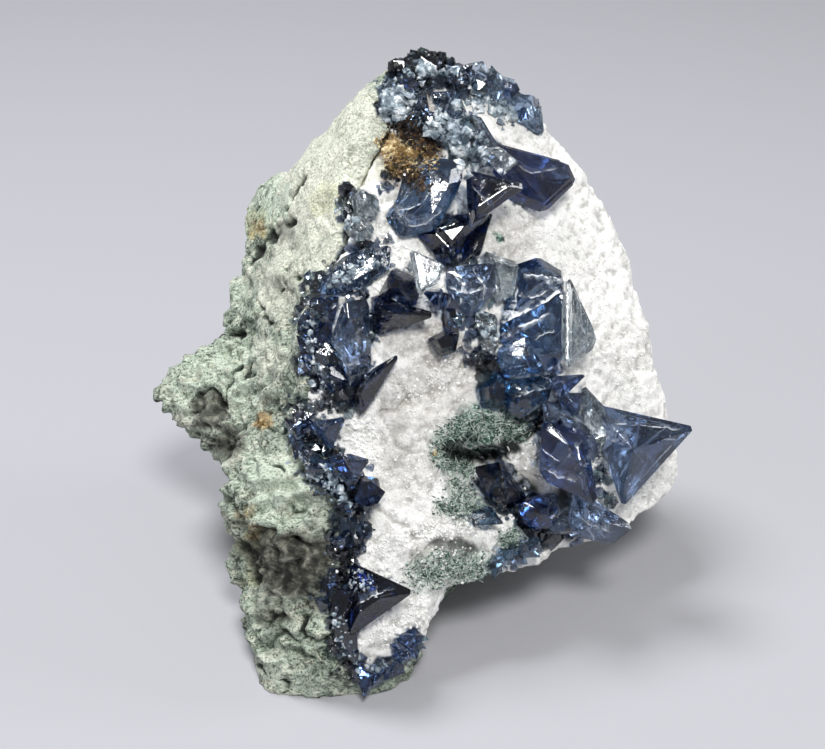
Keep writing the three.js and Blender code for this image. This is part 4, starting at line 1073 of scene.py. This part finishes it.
sugar = granule_material("natrolite_grains", "d8dad8", "f2f1ed", "ffffff", 0.6, grain)
SUGAR = [
    Band([(-8, 20), (0, 12), (5, 18), (9, 20)], 4, 500, 0.12, 0.36),
    Band([(-13, -5), (-6, -9), (-7, -15), (-10, -22)], 3, 500, 0.12, 0.36),
    Band([(-3, -3), (5, -1), (8, 3)], 4, 200, 0.1, 0.28),
    Band([(-2, -12), (2, -18), (3, -26), (8, -23)], 6, 250, 0.1, 0.26),
    Band([(-6, -25.2), (2, -22.6), (8, -21.8), (14, -21.6)], 1.7, 450, 0.12, 0.34),
    Band([(14, 24), (24, 16), (29, 4), (34, -4)], 6, 500, 0.1, 0.26),
    Band([(18, -13), (27, -12), (34, -18)], 4, 400, 0.12, 0.36),
    Band([(-6, -36), (-2, -38), (2, -33)], 3, 200, 0.12, 0.34),
    Band([(-13.4, -2.8), (-9.8, -4.4), (-7.2, -7.4)], 1.5, 230, 0.25, 0.75, -0.2),
    Band([(-8.6, -9.6), (-6.4, -13.6), (-6.6, -17.4)], 0.9, 110, 0.2, 0.6, -0.2),
    Band([(-4, 19.4), (-1.4, 17.6), (-5, 13), (-4.6, 8)], 0.9, 150, 0.2, 0.6, -0.2),
    Band([(-7, -27.8), (-5, -26.6), (-1.6, -31.4)], 0.9, 80, 0.2, 0.5, -0.2),
    Band([(11.6, -23), (14, -20.4), (15.2, -19)], 0.9, 80, 0.2, 0.55, -0.2),
    Band([(23.4, -11.4), (25.6, -12.8)], 1.2, 70, 0.2, 0.55, -0.2),
]
grown_piece("natrolite_grains", sugar, SUGAR, grow_grain, 22, on_crust)

leaf = granule_material("green_grains", "071613", "2a4a40", "93b0a2", 0.45, grain, size=0.5)
GREEN = [
    Band([(3.6, -10.4), (6, -8.2), (9.6, -7.2), (13.4, -7.4), (15.8, -8.2)], 2.2, 900, 0.12, 0.34),
    Band([(3.4, -11.8), (6, -13), (8.6, -13.8)], 1.4, 350, 0.11, 0.32),
    Band([(5.4, -15.4), (8.4, -16.6)], 1.6, 130, 0.11, 0.3),
    Band([(3.4, -18.6), (7, -19.2), (11.6, -20)], 1.5, 350, 0.11, 0.32),
    Band([(0.4, -28.8), (5, -27.4), (10.6, -28)], 3, 1000, 0.1, 0.28),
    Band([(13, -22.8), (15, -25)], 1.5, 250, 0.11, 0.3),
]
mint = granule_material("mint_fibres", "7c978a", "c6d4ca", "f8faf6", 0.5, grain, size=0.6)
grown_piece("green_grains", leaf, thinned(GREEN, 0.25), grow_grain, 25, on_both)
grown_piece("green_fibres", leaf, GREEN, grow_blade, 23, on_both, tilt=1.45)
grown_piece("mint_fibres", mint, GREEN, grow_blade, 26, on_both, tilt=1.45)

amber = granule_material("golden_grains", "1a1108", "9c7c44", "fff2c8", 0.2, grain, size=1.1)
umber = granule_material("umber_grains", "070402", "22150a", "5a3c18", 0.3, grain, size=0.7)
GOLD = [
    Band([(-4, 33), (-1.1, 31.8), (2.4, 31)], 2.0, 700, 0.12, 0.3),
    Band([(-3.4, 29.6), (0.5, 29.4)], 1.6, 300, 0.12, 0.28),
    Band([(-21.6, -6.4), (-21.2, -7.6)], 0.6, 50, 0.15, 0.32),
    Band([(3.1, -11), (3.2, -11.4)], 0.4, 24, 0.15, 0.32),
]
UMBER = [
    Band([(-2.4, 36), (0.6, 34), (2.8, 32)], 2.0, 700, 0.14, 0.38),
    Band([(-2.6, 30.4), (0.4, 28), (1.6, 26.6)], 1.8, 600, 0.14, 0.36),
]
grown_piece("umber_grains", umber, UMBER, grow_grain, 27, anywhere)
grown_piece("golden_grains", amber, thinned(GOLD, 0.7), grow_grain, 24, anywhere)
gold_fibre_bands = thinned(GOLD[:2], 0.9, small=0.14, large=0.32)
grown_piece("golden_fibres", amber, gold_fibre_bands, grow_blade, 28, anywhere, tilt=1.4)
